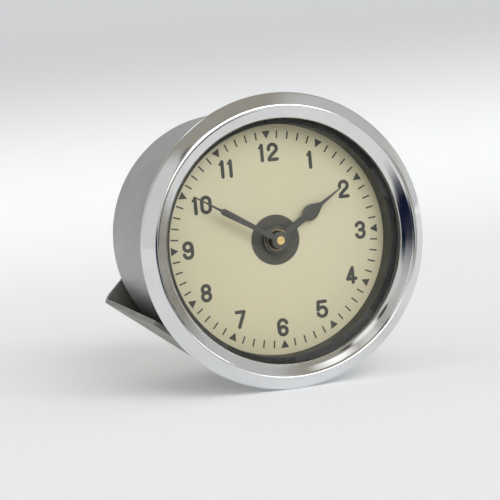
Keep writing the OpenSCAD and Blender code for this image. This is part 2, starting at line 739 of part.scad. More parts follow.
module centre_wheel() color("gold") difference() {
    union() {
        rod(2.5, centre_y - 0.9, centre_y + train_t / 2);
        rear_frame() gear(centre_n, train_m, 0, wheel_k, centre_y, centre_y + train_t);
    }
    rod(arbor_r + slip, centre_y - 2, centre_y + 2);
    for (k = [0:3]) rotate([0, 0, 45 + 90 * k]) translate([5, 0, 0]) rod(1.7, centre_y - 2, centre_y + 2);
}

module friction_washer() color("silver")
    tube(2.2, arbor_r + slip, centre_y + train_t, centre_y + train_t + 0.3);

module train_arbor(d0, d1, rear_end) {
    rod(pivot_r, front_y + 0.2, front_rear + shake + 0.1);
    rod(staff_r, front_rear + shake, rear_end);
    gear(leaf_n, train_m, 0, pinion_k, d0, d1);
}

module third_arbor() color("lightgray") rear_frame() at(third_pos) {
    rotate([0, 0, mesh_phase(third_dir, centre_n, 0, leaf_n)])
        train_arbor(centre_y - 0.5, centre_y + train_t + 0.5, rear_y - shake);
    rod(pivot_r, rear_y - shake - 0.1, rear_rear - 0.2);
}

module third_wheel() color("gold") rear_frame() at(third_pos) difference() {
    gear(third_n, train_m, 0, wheel_k, third_y, third_y + train_t);
    rod(staff_r + slip, third_y - 1, third_y + 2);
    for (k = [0:3]) rotate([0, 0, 90 * k]) translate([4, 0, 0]) rod(1.6, third_y - 1, third_y + 2);
}

module index_arbor() color("lightgray") rear_frame() at(index_pos)
    rotate([0, 0, mesh_phase(index_dir, third_n, 0, leaf_n)])
        train_arbor(third_y - 0.5, third_y + train_t + 0.5, index_y + train_t + 0.4);

module index_wheel() color("gold") rear_frame() at(index_pos) difference() {
    translate([0, 0, -index_y - train_t]) linear_extrude(train_t) polygon([for (i = [0:index_n - 1])
        for (q = [[index_r - 0.35, 0], [index_r, 1.2]]) let(a = (i + q[1]) * 360 / index_n)
            q[1] == 0 ? [q[0] * cos(a), q[0] * sin(a)] : [q[0] * cos(a - 1.5), q[0] * sin(a - 1.5)]]);
    rod(staff_r + slip, index_y - 1, index_y + 2);
}

// Balance

module balance_wheel() color("silver") rear_frame() at(staff_pos) difference() {
    union() {
        tube(balance_r, balance_r - balance_rim, balance_y, balance_y + balance_t);
        rod(2, balance_y + 0.4, balance_y + balance_t - 0.4);
        slab(-0.8, 0.8, 0.5 - balance_r, balance_r - 0.5, balance_y + 0.8, balance_y + balance_t - 0.8);
    }
    rod(balance_staff_r + slip, balance_y - 1, balance_y + balance_t + 1);
}

module balance_staff() color("lightgray") rear_frame() at(staff_pos) {
    rod(balance_staff_r, rear_rear + shake, bridge_y - shake);
    rod(balance_pivot_r, rear_y + 0.2, rear_rear + shake + 0.1);
    rod(balance_pivot_r, bridge_y - shake - 0.1, bridge_y + bridge_t - 0.2);
}

module roller() color("gold") rear_frame() at(staff_pos) difference() {
    union() {
        rod(pin_path, index_y + train_t + clear, index_y + train_t + clear + 0.8);
        translate([pin_reach, 0, 0]) rod(pin_r, index_y - 0.2, index_y + train_t + clear + 0.4);
    }
    rod(balance_staff_r + slip, index_y - 1, index_y + 4);
}

module hair_collet() color("gold") rear_frame() at(staff_pos)
    tube(1.4, balance_staff_r + slip, balance_y + balance_t + 0.4, bridge_y - 1);

function spiral(k) = [for (i = [0:24 * hair_turns]) let(a = hair_end + 15 * i - 360 * hair_turns,
    r = 1.4 + slip + hair_t + (hair_r - 1.5 - hair_t) * i / (24 * hair_turns) + k) [r * cos(a), r * sin(a)]];

module hairspring() color("steelblue") rear_frame() at(staff_pos) translate([0, 0, 1.4 - bridge_y])
    linear_extrude(0.6) polygon(concat(spiral(hair_t / 2), backward(spiral(-hair_t / 2))));

module hair_stud() color("gold") rear_frame() at(staff_pos) rotate([0, 0, hair_end])
    translate([hair_r + 0.45 + slip, 0, 0]) rod(0.4, bridge_y - 2.1, bridge_y);

module bridge_arm(k) {
    d = [bridge_post_s - staff_pos[0], k * bridge_post_n];
    rotate([0, 0, atan2(d[1], d[0])]) slab(0, norm(d), -2.4, 2.4, bridge_y, bridge_y + bridge_t);
}

module balance_bridge() color("goldenrod") rear_frame() difference() {
    union() {
        at(staff_pos) {
            rod(3.4, bridge_y, bridge_y + bridge_t);
            for (k = [-1, 1]) bridge_arm(k);
        }
        bridge_places() rod(3, bridge_y, bridge_y + bridge_t);
    }
    at(staff_pos) rod(balance_pivot_r + run, bridge_y - 1, bridge_y + bridge_t + 1);
    bridge_places() rod(screw_r + slip, bridge_y - 1, bridge_y + bridge_t + 1);
}

module bridge_posts() color("peru") rear_frame() bridge_places() difference() {
    rod(2, rear_rear, bridge_y);
    rod(screw_r + slip, bridge_y - screw_in - shake, bridge_y + 1);
}

// Magnet and contacts

module magnet_core() color("gray") rear_frame()
    along_n(core_r, coil_at, coil_y, -arm_n - arm_t, arm_n + arm_t);

module pole_arms() color("dimgray") rear_frame() for (k = [-1, 1]) difference() {
    slab(-8.5, coil_at + 3, k > 0 ? arm_n : -arm_n - arm_t, k > 0 ? arm_n + arm_t : -arm_n, arm_in, arm_out);
    at(staff_pos) rod(balance_r + pole_gap, arm_in - 1, arm_out + 1);
    along_n(core_r + slip, coil_at, coil_y, -12, 12);
    at([magnet_post_s, k * (arm_n + arm_t / 2)]) rod(screw_r + slip, arm_in - 1, arm_out + 1);
}

module coil_former() color("saddlebrown") rear_frame() difference() {
    union() {
        along_n(core_r + 0.6, coil_at, coil_y, -coil_half, coil_half);
        along_n(cheek_r, coil_at, coil_y, -coil_half, cheek_t - coil_half);
        along_n(cheek_r, coil_at, coil_y, coil_half - cheek_t, coil_half);
    }
    along_n(core_r + slip, coil_at, coil_y, -12, 12);
}

module coil_winding() color("darkorange") rear_frame() difference() {
    along_n(winding_r, coil_at, coil_y, cheek_t - coil_half, coil_half - cheek_t);
    along_n(core_r + 0.6 + slip, coil_at, coil_y, -12, 12);
}

module magnet_posts() color("peru") rear_frame() magnet_places() difference() {
    rod(magnet_post_r, rear_rear, arm_in);
    rod(screw_r + slip, arm_in - screw_in - shake, arm_in + 1);
}

module magnet_screws() color("lightgray") rear_frame() magnet_places() {
    rod(magnet_post_r, arm_out, arm_out + screw_head_h);
    rod(screw_r, arm_in - screw_in, arm_out + screw_head_h / 2);
}

module contact_block() color("saddlebrown") rear_frame() difference() {
    slab(block_left, block_left + block_s, block_mid - block_n / 2, block_mid + block_n / 2,
        rear_rear, rear_rear + block_h);
    along_s(0.6 + slip, block_mid, blade_y + blade_w / 2, block_left - 1, block_left + 3);
}

module contact_blade() color("gold") rear_frame() difference() {
    slab(block_left - blade_t, block_left, -1, block_mid + 1.6, blade_y, blade_y + blade_w);
    along_s(0.6 + slip, block_mid, blade_y + blade_w / 2, block_left - 1, block_left + 1);
}

module contact_screw() color("lightgray") rear_frame() {
    along_s(1.1, block_mid, blade_y + blade_w / 2, block_left - blade_t - 0.8, block_left - blade_t);
    along_s(0.6, block_mid, blade_y + blade_w / 2, block_left - blade_t - 0.4, block_left + 2.8);
}

module lead_wires() color("firebrick") rear_frame() {
    along_n(wire_r, coil_at, lead_y, coil_half - cheek_t, lead_n);
    translate([coil_at, lead_n, -lead_y]) sphere(r = wire_r, $fn = 24);
    along_s(wire_r, lead_n, lead_y, block_left + 2, coil_at);
    translate([block_left + 2, lead_n, -lead_y]) sphere(r = wire_r, $fn = 24);
    along_n(wire_r, block_left + 2, lead_y, block_mid + block_n / 2 + slip, lead_n);
    at([terminal_at, 0]) rod(wire_r, coil_y, back_in - collar_in - 2 - slip);
    translate([terminal_at, 0, -coil_y]) sphere(r = wire_r, $fn = 24);
    along_s(wire_r, 0, coil_y, coil_at + winding_r + slip, terminal_at);
}

// Rear

module terminal_stud() color("goldenrod") rear_frame() at([terminal_at, 0]) {
    hexagon(terminal_nut_af, back_in - collar_in - 2, back_in - collar_in);
    rod(terminal_r, back_in - collar_in - 1, terminal_tip_y);
    rod(terminal_tip_r, terminal_tip_y - 1, terminal_end);
}

module terminal_collars() color([0.25, 0.12, 0.08]) rear_frame() at([terminal_at, 0]) {
    tube(collar_r, terminal_r + slip, back_in - collar_in, back_in);
    difference() {
        union() {
            rod(collar_r, case_depth, terminal_nut_y);
            rod(terminal_r + sleeve_t, back_in + slip, case_depth + collar_t / 2);
        }
        rod(terminal_r + slip, back_in - 1, terminal_nut_y + 1);
    }
}

module terminal_nuts() color("goldenrod") rear_frame() at([terminal_at, 0])
    for (k = [0, 1]) let(d = terminal_nut_y + k * (terminal_nut_h + slip)) difference() {
        hexagon(terminal_nut_af, d, d + terminal_nut_h);
        rod(terminal_r + slip, d - 1, d + terminal_nut_h + 1);
    }

module arbor_bush() color("goldenrod") difference() {
    union() {
        rod(bush_r, back_in - 1.5, case_depth + bush_t / 2);
        rod(bush_r + 1, case_depth, case_depth + bush_t);
    }
    rod(arbor_r + run, back_in - 3, case_depth + 3);
}

module set_knob() color("silver") rear_frame() difference() {
    union() {
        rod(knob_neck_r, case_depth + 2 * bush_t, knob_y + 0.5);
        rod(knob_r - 0.4, knob_y, knob_end);
        knurled(knob_r, 0.3, 36, knob_y + 0.6, knob_end - 0.8);
    }
    rod(arbor_r + slip, case_depth, arbor_end + slip);
    along_s(grub_r + slip, 0, (knob_y + knob_end) / 2, 0, knob_r + 1);
}

module knob_screw() color("gray") rear_frame()
    along_s(grub_r, 0, (knob_y + knob_end) / 2, arbor_r + slip, knob_r - 0.8);

module mounting_studs() color("gray") rear_frame() both() rod(stud_r, back_in - 7.8, stud_end);

module case_nuts() color("gray") rear_frame() both() difference() {
    hexagon(case_nut_af, case_depth, case_depth + case_nut_h);
    rod(stud_r + slip, case_depth - 1, case_depth + case_nut_h + 1);
}

function half_strip(k) = [[k * leg_in_front, leg_front], [k * (leg_in_front + strip_t), leg_front],
    for (i = [0:5]) let(a = 18 * i)
        [k * (bend_at + bend_o * cos(a)), bridge_rear - bend_o + bend_o * sin(a)]];

function half_inner(k) = [for (i = [0:5]) let(a = 18 * i)
    [k * (bend_at + bend_r * cos(a)), bridge_front - bend_r + bend_r * sin(a)]];

strip_pts = concat(half_strip(1), backward(half_strip(-1)), half_inner(-1), backward(half_inner(1)));

module leg_space() rotate([90, 0, 0]) translate([0, 0, bend_at]) linear_extrude(20)
    polygon([[-far_front, -leg_front], [near_front, -leg_front], [near_rear, bend_o - bridge_rear],
        [near_rear, -bridge_rear - 1], [-far_rear, -bridge_rear - 1], [-far_rear, bend_o - bridge_rear]]);

module bridge_space() translate([0, 0, -bridge_rear - 1]) linear_extrude(strip_t + 2)
    polygon([[-far_rear, -bend_at], [near_rear, -bend_at], [far_rear, bend_at], [-near_rear, bend_at]]);

module clamp_strip() color("gray") rear_frame() difference() {
    intersection() {
        rotate([90, 0, 90]) linear_extrude(40, center = true) polygon([for (p = strip_pts) [p[0], -p[1]]]);
        union() {
            bridge_space();
            leg_space();
            rotate([0, 0, 180]) leg_space();
        }
    }
    both() rod(stud_r + clear, bridge_front - 1, bridge_rear + 1);
    rod(knob_r + clear + 0.6, bridge_front - 1, bridge_rear + 1);
}

module clamp_washers() color("silver") rear_frame() both()
    tube(nut_r, stud_r + clear, bridge_rear, bridge_rear + washer_t);

module knurled_nut() difference() {
    union() {
        rod(nut_r - 0.4, nut_y, nut_y + nut_h);
        knurled(nut_r, 0.3, 36, nut_y + 0.6, nut_y + nut_h - 0.6);
    }
    rod(stud_r + run, nut_y - 1, nut_y + nut_h + 1);
}

module nut_upper() color("goldenrod") rear_frame() at([0, stud_at]) knurled_nut();

module nut_lower() color("goldenrod") rear_frame() at([0, -stud_at]) knurled_nut();

// Drawing

module placed() rotate([90, 0, 0]) children();

placed() bezel();
placed() glass();
placed() glass_gasket();
placed() case_rim();
placed() case_shell();
placed() shade_ring();
placed() dial_plate();
placed() dial_print();
placed() dial_centre();
placed() dial_posts();
placed() dial_screws();
placed() front_plate();
placed() back_plate();
placed() pillars();
placed() movement_screws();
placed() case_posts();
placed() minute_post();
placed() minute_hand();
placed() centre_arbor();
placed() cannon_pinion();
placed() centre_wheel();
placed() friction_washer();
placed() set_knob();
placed() knob_screw();
placed() hour_wheel();
placed() hour_hand();
placed() minute_wheel();
placed() third_arbor();
placed() third_wheel();
placed() index_arbor();
placed() index_wheel();
placed() balance_wheel();
placed() balance_staff();
placed() roller();
placed() hair_collet();
placed() hairspring();
placed() hair_stud();
placed() balance_bridge();
placed() bridge_posts();
placed() magnet_core();
placed() pole_arms();
placed() coil_former();
placed() coil_winding();
placed() magnet_posts();
placed() magnet_screws();
placed() contact_block();
placed() contact_blade();
placed() contact_screw();
placed() lead_wires();
placed() terminal_stud();
placed() terminal_collars();
placed() terminal_nuts();
placed() arbor_bush();
placed() mounting_studs();
placed() case_nuts();
placed() clamp_strip();
placed() clamp_washers();
placed() nut_upper();
placed() nut_lower();
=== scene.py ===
"""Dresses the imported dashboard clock: chrome bezel, ivory dial, spade hand, satin can and strip clamp.

Every new piece is a surface worked out with numpy in millimetres of the clock's own frame (x to three
o'clock, y into the dash, z to twelve o'clock) and is put into its mesh in metres.
"""

from __future__ import annotations

import json
import logging
import math
from dataclasses import dataclass, field
from enum import Enum
from typing import Callable, Sequence

import bmesh
import bpy
import numpy as np
from mathutils import Matrix, Vector

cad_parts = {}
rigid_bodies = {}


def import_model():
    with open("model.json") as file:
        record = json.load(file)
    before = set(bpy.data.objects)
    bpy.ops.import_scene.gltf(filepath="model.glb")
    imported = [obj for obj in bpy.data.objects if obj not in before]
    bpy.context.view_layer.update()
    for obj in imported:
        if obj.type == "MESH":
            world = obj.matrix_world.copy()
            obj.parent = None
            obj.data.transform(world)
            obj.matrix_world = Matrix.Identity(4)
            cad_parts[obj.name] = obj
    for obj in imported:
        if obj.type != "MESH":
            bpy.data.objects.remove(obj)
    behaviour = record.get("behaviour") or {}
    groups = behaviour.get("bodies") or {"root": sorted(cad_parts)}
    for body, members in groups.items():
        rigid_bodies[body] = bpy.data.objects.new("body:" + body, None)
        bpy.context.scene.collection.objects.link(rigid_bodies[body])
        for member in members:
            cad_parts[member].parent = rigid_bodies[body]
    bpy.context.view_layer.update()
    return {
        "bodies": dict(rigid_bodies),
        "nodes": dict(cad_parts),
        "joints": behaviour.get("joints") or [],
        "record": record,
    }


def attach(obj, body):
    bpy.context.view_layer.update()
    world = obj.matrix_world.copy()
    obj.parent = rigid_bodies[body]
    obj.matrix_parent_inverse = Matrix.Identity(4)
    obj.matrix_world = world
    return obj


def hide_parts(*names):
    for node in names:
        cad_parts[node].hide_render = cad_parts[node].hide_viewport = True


LOG = logging.getLogger("clock")
MM = 0.001
TAU = 2.0 * math.pi
CLAMP_ANGLE = math.radians(38.0)
WELD = 2e-7
SLIVER = 1e-7

RGB = tuple[float, float, float]
Pair = tuple[float, float]
Profile = Sequence[tuple[float, float, float]]
Surface = tuple[np.ndarray, np.ndarray]
Radial = Callable[[np.ndarray, np.ndarray, np.ndarray], np.ndarray]
Tree = bpy.types.NodeTree
Node = bpy.types.Node
Socket = bpy.types.NodeSocket


class Body(str, Enum):
    """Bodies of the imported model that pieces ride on."""

    CASE = "case"
    MINUTE = "minute"
    HOUR = "hour"
    CLAMP = "clamp"
    NUT_UPPER = "nut_upper"
    NUT_LOWER = "nut_lower"


class Grain(Enum):
    """How the fine relief of a finish runs, as a stretch of its pattern along x, y and z."""

    EVEN = (1.0, 1.0, 1.0)
    TURNED = (0.06, 1.0, 0.06)
    FACED = (0.35, 1.0, 0.35)
    ROLLED = (1.0, 0.08, 1.0)


# Shader nodes


def noise(tree: Tree, vector: Socket, scale: float, detail: float) -> Socket:
    """Adds a noise pattern.

    Args:
        tree: The nodes to add to.
        vector: Coordinates that the pattern reads.
        scale: Features per metre.
        detail: Octaves.

    Returns:
        The pattern's value socket.
    """
    node = tree.nodes.new("ShaderNodeTexNoise")
    node.inputs["Scale"].default_value = scale
    node.inputs["Detail"].default_value = detail
    tree.links.new(vector, node.inputs["Vector"])
    return node.outputs["Fac"]


def remap(tree: Tree, value: Socket, source: Pair, target: Pair = (0.0, 1.0), eased: bool = False) -> Socket:
    """Maps a value from one range to another and holds it there.

    Args:
        tree: The nodes to add to.
        value: Socket to map.
        source: Range read.
        target: Range given.
        eased: Whether it starts and ends gently.

    Returns:
        The mapped value's socket.
    """
    node = tree.nodes.new("ShaderNodeMapRange")
    if eased:
        node.interpolation_type = "SMOOTHSTEP"
    for name, number in zip(("From Min", "From Max", "To Min", "To Max"), (*source, *target)):
        node.inputs[name].default_value = number
    tree.links.new(value, node.inputs["Value"])
    return node.outputs["Result"]


def blend(tree: Tree, share: Socket, under: Socket | RGB, over: Socket | RGB) -> Socket:
    """Lays one colour over another.

    Args:
        tree: The nodes to add to.
        share: How much of the upper colour shows.
        under: The lower colour, plain or from a socket.
        over: The upper colour, plain or from a socket.

    Returns:
        The mixed colour's socket.
    """
    node = tree.nodes.new("ShaderNodeMix")
    node.data_type = "RGBA"
    tree.links.new(share, node.inputs["Factor"])
    for side, colour in (("A", under), ("B", over)):
        if isinstance(colour, tuple):
            node.inputs[side].default_value = (*colour, 1.0)
        else:
            tree.links.new(colour, node.inputs[side])
    return node.outputs["Result"]


# Finishes


@dataclass(frozen=True)
class Finish:
    """A procedural finish: mottled colour, uneven gloss and a fine relief, all on object coordinates."""

    name: str
    slot: str
    color: RGB
    shade: RGB
    metallic: float
    gloss: Pair
    mottle: float = 90.0
    relief: float = 0.05
    relief_scale: float = 2500.0
    grain: Grain = Grain.EVEN
    depth: float = 0.00002
    coat: float = 0.0

    def material(self) -> bpy.types.Material:
        """Builds the material once and returns it.

        Returns:
            The material of that name.
        """
        known = bpy.data.materials.get(self.name)
        if known is not None:
            return known
        mat = bpy.data.materials.new(self.name)
        mat.use_nodes = True
        tree = mat.node_tree
        shader = tree.nodes["Principled BSDF"]
        shader.inputs["Metallic"].default_value = self.metallic
        shader.inputs["Coat Weight"].default_value = self.coat
        where = tree.nodes.new("ShaderNodeTexCoord").outputs["Object"]
        broad = remap(tree, noise(tree, where, self.mottle, 4.0), (0.35, 0.7))
        tree.links.new(blend(tree, broad, self.color, self.shade), shader.inputs["Base Color"])
        polish = noise(tree, where, self.mottle * 3.1, 5.0)
        tree.links.new(remap(tree, polish, (0.3, 0.7), self.gloss), shader.inputs["Roughness"])
        mapping = tree.nodes.new("ShaderNodeMapping")
        mapping.inputs["Scale"].default_value = self.grain.value
        tree.links.new(where, mapping.inputs["Vector"])
        bump = tree.nodes.new("ShaderNodeBump")
        bump.inputs["Strength"].default_value = self.relief
        bump.inputs["Distance"].default_value = self.depth
        fine = noise(tree, mapping.outputs["Vector"], self.relief_scale, 3.0)
        tree.links.new(fine, bump.inputs["Height"])
        tree.links.new(bump.outputs["Normal"], shader.inputs["Normal"])
        self.extra(tree, shader, where)
        return mat

    def extra(self, tree: Tree, shader: Node, where: Socket) -> None:
        """Adds what only one kind of finish has; the plain finish adds nothing."""


@dataclass(frozen=True)
class ClearGlass(Finish):
    """Flat clear glass that lets light and shadow rays through and keeps a faint gloss."""

    alpha: float = 0.05
    ior: float = 1.5

    def extra(self, tree: Tree, shader: Node, where: Socket) -> None:
        """Sets the see-through share on the shader's own socket."""
        shader.inputs["Alpha"].default_value = self.alpha
        shader.inputs["IOR"].default_value = self.ior


@dataclass(frozen=True)
class BoreShadedBrass(Finish):
    """Turned brass with painted shade inside its bore.

    The colour darkens, as painted shade, where the distance from the case axis falls below the bore's radius.
    """

    bore: float = 2.04
    blur: float = 0.03
    # painted shade: this dark colour inside the bore stands for the shade in the pipe's mouth
    bore_shade: RGB = (0.085, 0.078, 0.064)

    def extra(self, tree: Tree, shader: Node, where: Socket) -> None:
        """Lays the painted shade over the colour inside the bore.

        Args:
            tree: The material's nodes.
            shader: Its shader.
            where: Object coordinates.
        """
        flat = tree.nodes.new("ShaderNodeVectorMath")
        flat.operation = "MULTIPLY"
        flat.inputs[1].default_value = (1.0, 0.0, 1.0)
        tree.links.new(where, flat.inputs[0])
        reach = tree.nodes.new("ShaderNodeVectorMath")
        reach.operation = "LENGTH"
        tree.links.new(flat.outputs["Vector"], reach.inputs[0])
        edge = ((self.bore - self.blur) * MM, (self.bore + self.blur) * MM)
        unshaded = remap(tree, reach.outputs["Value"], edge)
        colour = shader.inputs["Base Color"].links[0].from_socket
        tree.links.new(blend(tree, unshaded, self.bore_shade, colour), shader.inputs["Base Color"])


CHROME = Finish("chrome plate", "chrome", (0.775, 0.78, 0.785), (0.735, 0.74, 0.74), metallic=1.0,
                gloss=(0.04, 0.09), mottle=160.0, relief=0.03, relief_scale=420.0, depth=0.00004)
GLASS = ClearGlass("clear glass", "glass", (0.02, 0.024, 0.022), (0.03, 0.034, 0.032), metallic=0.0,
                   gloss=(0.01, 0.03), mottle=60.0, relief=0.01)
CAN = Finish("satin can", "case", (0.415, 0.425, 0.42), (0.375, 0.385, 0.38), metallic=0.35,
             gloss=(0.42, 0.54), mottle=70.0, relief=0.12, relief_scale=5200.0, grain=Grain.TURNED)
SHADE = Finish("dark shade ring", "black", (0.046, 0.048, 0.045), (0.066, 0.069, 0.065), metallic=0.0,
               gloss=(0.46, 0.6), mottle=120.0, relief=0.25, relief_scale=2600.0, grain=Grain.TURNED)
IVORY = Finish("ivory enamel", "ivory", (0.73, 0.69, 0.475), (0.70, 0.655, 0.435), metallic=0.0,
               gloss=(0.42, 0.58), mottle=45.0, relief=0.06, relief_scale=3600.0)
INK = Finish("dial ink", "ink", (0.068, 0.068, 0.058), (0.084, 0.083, 0.071), metallic=0.0,
             gloss=(0.5, 0.65), mottle=300.0, relief=0.1, relief_scale=5000.0)
DISC_INK = Finish("disc ink", "ink", (0.088, 0.087, 0.068), (0.102, 0.100, 0.080), metallic=0.0,
                  gloss=(0.5, 0.65), mottle=300.0, relief=0.1, relief_scale=5000.0)
HAND_PAINT = Finish("hand paint", "hands", (0.078, 0.078, 0.068), (0.098, 0.098, 0.086), metallic=0.0,
                    gloss=(0.4, 0.55), mottle=260.0, relief=0.12, relief_scale=4200.0)
BRASS = Finish("turned brass", "brass", (0.80, 0.56, 0.24), (0.68, 0.45, 0.18), metallic=1.0,
               gloss=(0.22, 0.36), mottle=200.0, relief=0.12, relief_scale=4500.0, grain=Grain.TURNED)
# pipe brass: bright outside, with painted shade inside its bore
PIPE_BRASS = BoreShadedBrass("pipe brass", "brass", (0.86, 0.66, 0.34), (0.76, 0.55, 0.26), metallic=1.0,
                        gloss=(0.26, 0.4), mottle=200.0, relief=0.12, relief_scale=4500.0, grain=Grain.TURNED)
PIN_BRASS = Finish("bright brass", "brass", (0.92, 0.68, 0.30), (0.82, 0.57, 0.23), metallic=0.5,
                   gloss=(0.34, 0.48), mottle=320.0, relief=0.12, relief_scale=4500.0, grain=Grain.TURNED)
STEEL = Finish("bright steel", "steel", (0.58, 0.58, 0.57), (0.48, 0.48, 0.47), metallic=1.0,
               gloss=(0.24, 0.38), mottle=150.0, relief=0.12, relief_scale=4000.0, grain=Grain.FACED)
STRIP = Finish("dull strip", "strip", (0.36, 0.355, 0.335), (0.29, 0.285, 0.27), metallic=0.9,
               gloss=(0.42, 0.5), mottle=110.0, relief=0.08, relief_scale=2600.0, grain=Grain.ROLLED)
BLUED = Finish("blued spring", "spring_steel", (0.10, 0.16, 0.34), (0.16, 0.14, 0.30), metallic=1.0,
               gloss=(0.2, 0.35), mottle=240.0)
COPPER = Finish("enamelled copper", "copper", (0.62, 0.25, 0.10), (0.50, 0.18, 0.07), metallic=1.0,
                gloss=(0.3, 0.45), mottle=300.0, relief=0.3, relief_scale=6000.0, coat=0.3)
BROWN = Finish("brown moulding", "insulator", (0.085, 0.035, 0.02), (0.12, 0.05, 0.028), metallic=0.0,
               gloss=(0.35, 0.5), mottle=200.0, relief=0.15, relief_scale=2200.0)
LEAD = Finish("lead sleeve", "wire", (0.28, 0.03, 0.025), (0.2, 0.02, 0.02), metallic=0.0,
              gloss=(0.5, 0.65), mottle=300.0)
RUBBER = Finish("gasket rubber", "rubber", (0.03, 0.03, 0.03), (0.045, 0.045, 0.045), metallic=0.0,
                gloss=(0.6, 0.75), mottle=300.0, relief=0.2, relief_scale=3000.0)
DARK_STEEL = Finish("dark steel", "steel", (0.09, 0.09, 0.085), (0.13, 0.13, 0.12), metallic=0.8,
                    gloss=(0.4, 0.55), mottle=250.0)

SLOT_FINISH = {f.slot: f for f in (CHROME, GLASS, CAN, SHADE, IVORY, INK, HAND_PAINT, BRASS, STEEL, STRIP,
                                   BLUED, COPPER, BROWN, LEAD, RUBBER)}


# Surfaces


def soften(points: Profile, steps: int = 7) -> np.ndarray:
    """Rounds every corner of a closed outline.

    Each corner becomes a quadratic curve that starts and ends the given distance away from it along its
    two sides, or at 45 per cent of a side that is shorter.

    Args:
        points: Corners as first coordinate, second coordinate and rounding.
        steps: Points on each rounded corner.

    Returns:
        The outline's points, one row each.
    """
    data = np.asarray(points, float)
    p, cut = data[:, :2], data[:, 2:3]
    back, ahead = np.roll(p, 1, 0) - p, np.roll(p, -1, 0) - p
    lb = np.linalg.norm(back, axis=1, keepdims=True)
    la = np.linalg.norm(ahead, axis=1, keepdims=True)
    a = p + back / lb * np.minimum(cut, 0.45 * lb)
    b = p + ahead / la * np.minimum(cut, 0.45 * la)
    t = np.linspace(0.0, 1.0, steps)[None, :, None]
    curve = (1 - t) ** 2 * a[:, None] + 2 * t * (1 - t) * p[:, None] + t**2 * b[:, None]
    return curve.reshape(-1, 2)


def grid_faces(rows: int, cols: int, closed_rows: bool, closed_cols: bool) -> np.ndarray:
    """Quads over a grid of points, joined up at its ends where it is closed.

    Args:
        rows: Points along the first parameter.
        cols: Points along the second.
        closed_rows: Whether the last row meets the first.
        closed_cols: Whether the last column meets the first.

    Returns:
        Four point numbers a row.
    """
    i = np.arange(rows if closed_rows else rows - 1)[:, None]
    j = np.arange(cols if closed_cols else cols - 1)[None, :]
    i2, j2 = (i + 1) % rows, (j + 1) % cols
    return np.stack([i * cols + j, i2 * cols + j, i2 * cols + j2, i * cols + j2], -1).reshape(-1, 4)


def revolve(profile: np.ndarray, segments: int, radial: Radial | None = None) -> Surface:
    """Carries a closed profile of radius and depth once round the y axis.

    A point at radius r, depth d and angle a lies at (r cos a, d, r sin a); radial may change r with a and d.

    Args:
        profile: Rows of radius and depth.
        segments: Steps round the axis.
        radial: Gives the radius from radius, depth and angle.

    Returns:
        Points and quads.
    """
    turn = np.arange(segments)[None, :] * TAU / segments
    r, d, a = np.broadcast_arrays(profile[:, :1], profile[:, 1:2], turn)
    r = r if radial is None else radial(r, d, a)
    points = np.stack([r * np.cos(a), d, r * np.sin(a)], -1).reshape(-1, 3)
    return points, grid_faces(len(profile), segments, True, True)


def joined(surfaces: Sequence[Surface]) -> Surface:
    """Several surfaces as one, each one's point numbers moved on past the points before it.

    Args:
        surfaces: Points and quads of each.

    Returns:
        Points and quads of all.
    """
    starts = np.cumsum([0] + [len(points) for points, _ in surfaces])
    faces = [quads + start for (_, quads), start in zip(surfaces, starts)]
    return np.concatenate([points for points, _ in surfaces]), np.concatenate(faces)


def moved(surface: Surface, place: np.ndarray) -> Surface:
    """A surface shifted in x and z to a place on the back."""
    return surface[0] + np.array([place[0], 0.0, place[1]]), surface[1]


def rear_point(s: float | np.ndarray, n: float | np.ndarray) -> np.ndarray:
    """A place on the back, as x and z, from distances in the clamp's own directions.

    Args:
        s: Distance across the clamp, to the lower right.
        n: Distance along the clamp, to the upper right.

    Returns:
        x and z.
    """
    c, w = math.cos(CLAMP_ANGLE), math.sin(CLAMP_ANGLE)
    return np.array([s * c + n * w, n * c - s * w])


def hexagon_radius(across_flats: float) -> Radial:
    """Radius of a hexagon with chamfered corners.

    The flats lie at half the width over the cosine of the angle from each flat's middle, wherever the
    profile is wider than the flats; narrower rings, such as the bore and the chamfer, stay round.

    Args:
        across_flats: Width across flats.

    Returns:
        The radius as a function of radius, depth and angle.
    """
    half = across_flats / 2.0

    def radius(r: np.ndarray, d: np.ndarray, a: np.ndarray) -> np.ndarray:
        """The smaller of the round radius and the flat's."""
        flat = half / np.cos((a + TAU / 12) % (TAU / 6) - TAU / 12)
        return np.where(r > half, np.minimum(r, flat), r)

    return radius


def knurl_radius(inner: float, cut: float, ridges: int = 36) -> Radial:
    """Radius of a straight knurl: a rounded ridge pattern cut into whatever lies outside the inner radius.

    Args:
        inner: Radius below which the shape stays round.
        cut: Depth of the grooves.
        ridges: Number of ridges.

    Returns:
        The radius as a function of radius, depth and angle.
    """

    def radius(r: np.ndarray, d: np.ndarray, a: np.ndarray) -> np.ndarray:
        """Groove depth follows a sharpened sine of the angle."""
        wave = np.abs(np.sin(a * ridges / 2.0)) ** 0.8
        return np.where(r > inner, r - cut * (1.0 - wave), r)

    return radius


def closed_mesh(name: str, surface: Surface) -> bpy.types.Mesh:
    """Puts a surface into a mesh, welded and with its normals outward.

    Args:
        name: The mesh's name.
        surface: Points in millimetres, and quads.

    Returns:
        The new mesh.
    """
    points, faces = surface
    mesh = bpy.data.meshes.new(name)
    mesh.from_pydata((points * MM).tolist(), [], faces.tolist())
    work = bmesh.new()
    work.from_mesh(mesh)
    bmesh.ops.remove_doubles(work, verts=work.verts[:], dist=WELD)
    bmesh.ops.dissolve_degenerate(work, dist=SLIVER, edges=work.edges[:])
    bmesh.ops.recalc_face_normals(work, faces=work.faces[:])
    work.to_mesh(mesh)
    work.free()
    return mesh


def linked(name: str, mesh: bpy.types.Mesh) -> bpy.types.Object:
    """A new object at the origin that holds a mesh."""
    obj = bpy.data.objects.new(name, mesh)
    bpy.context.collection.objects.link(obj)
    return obj


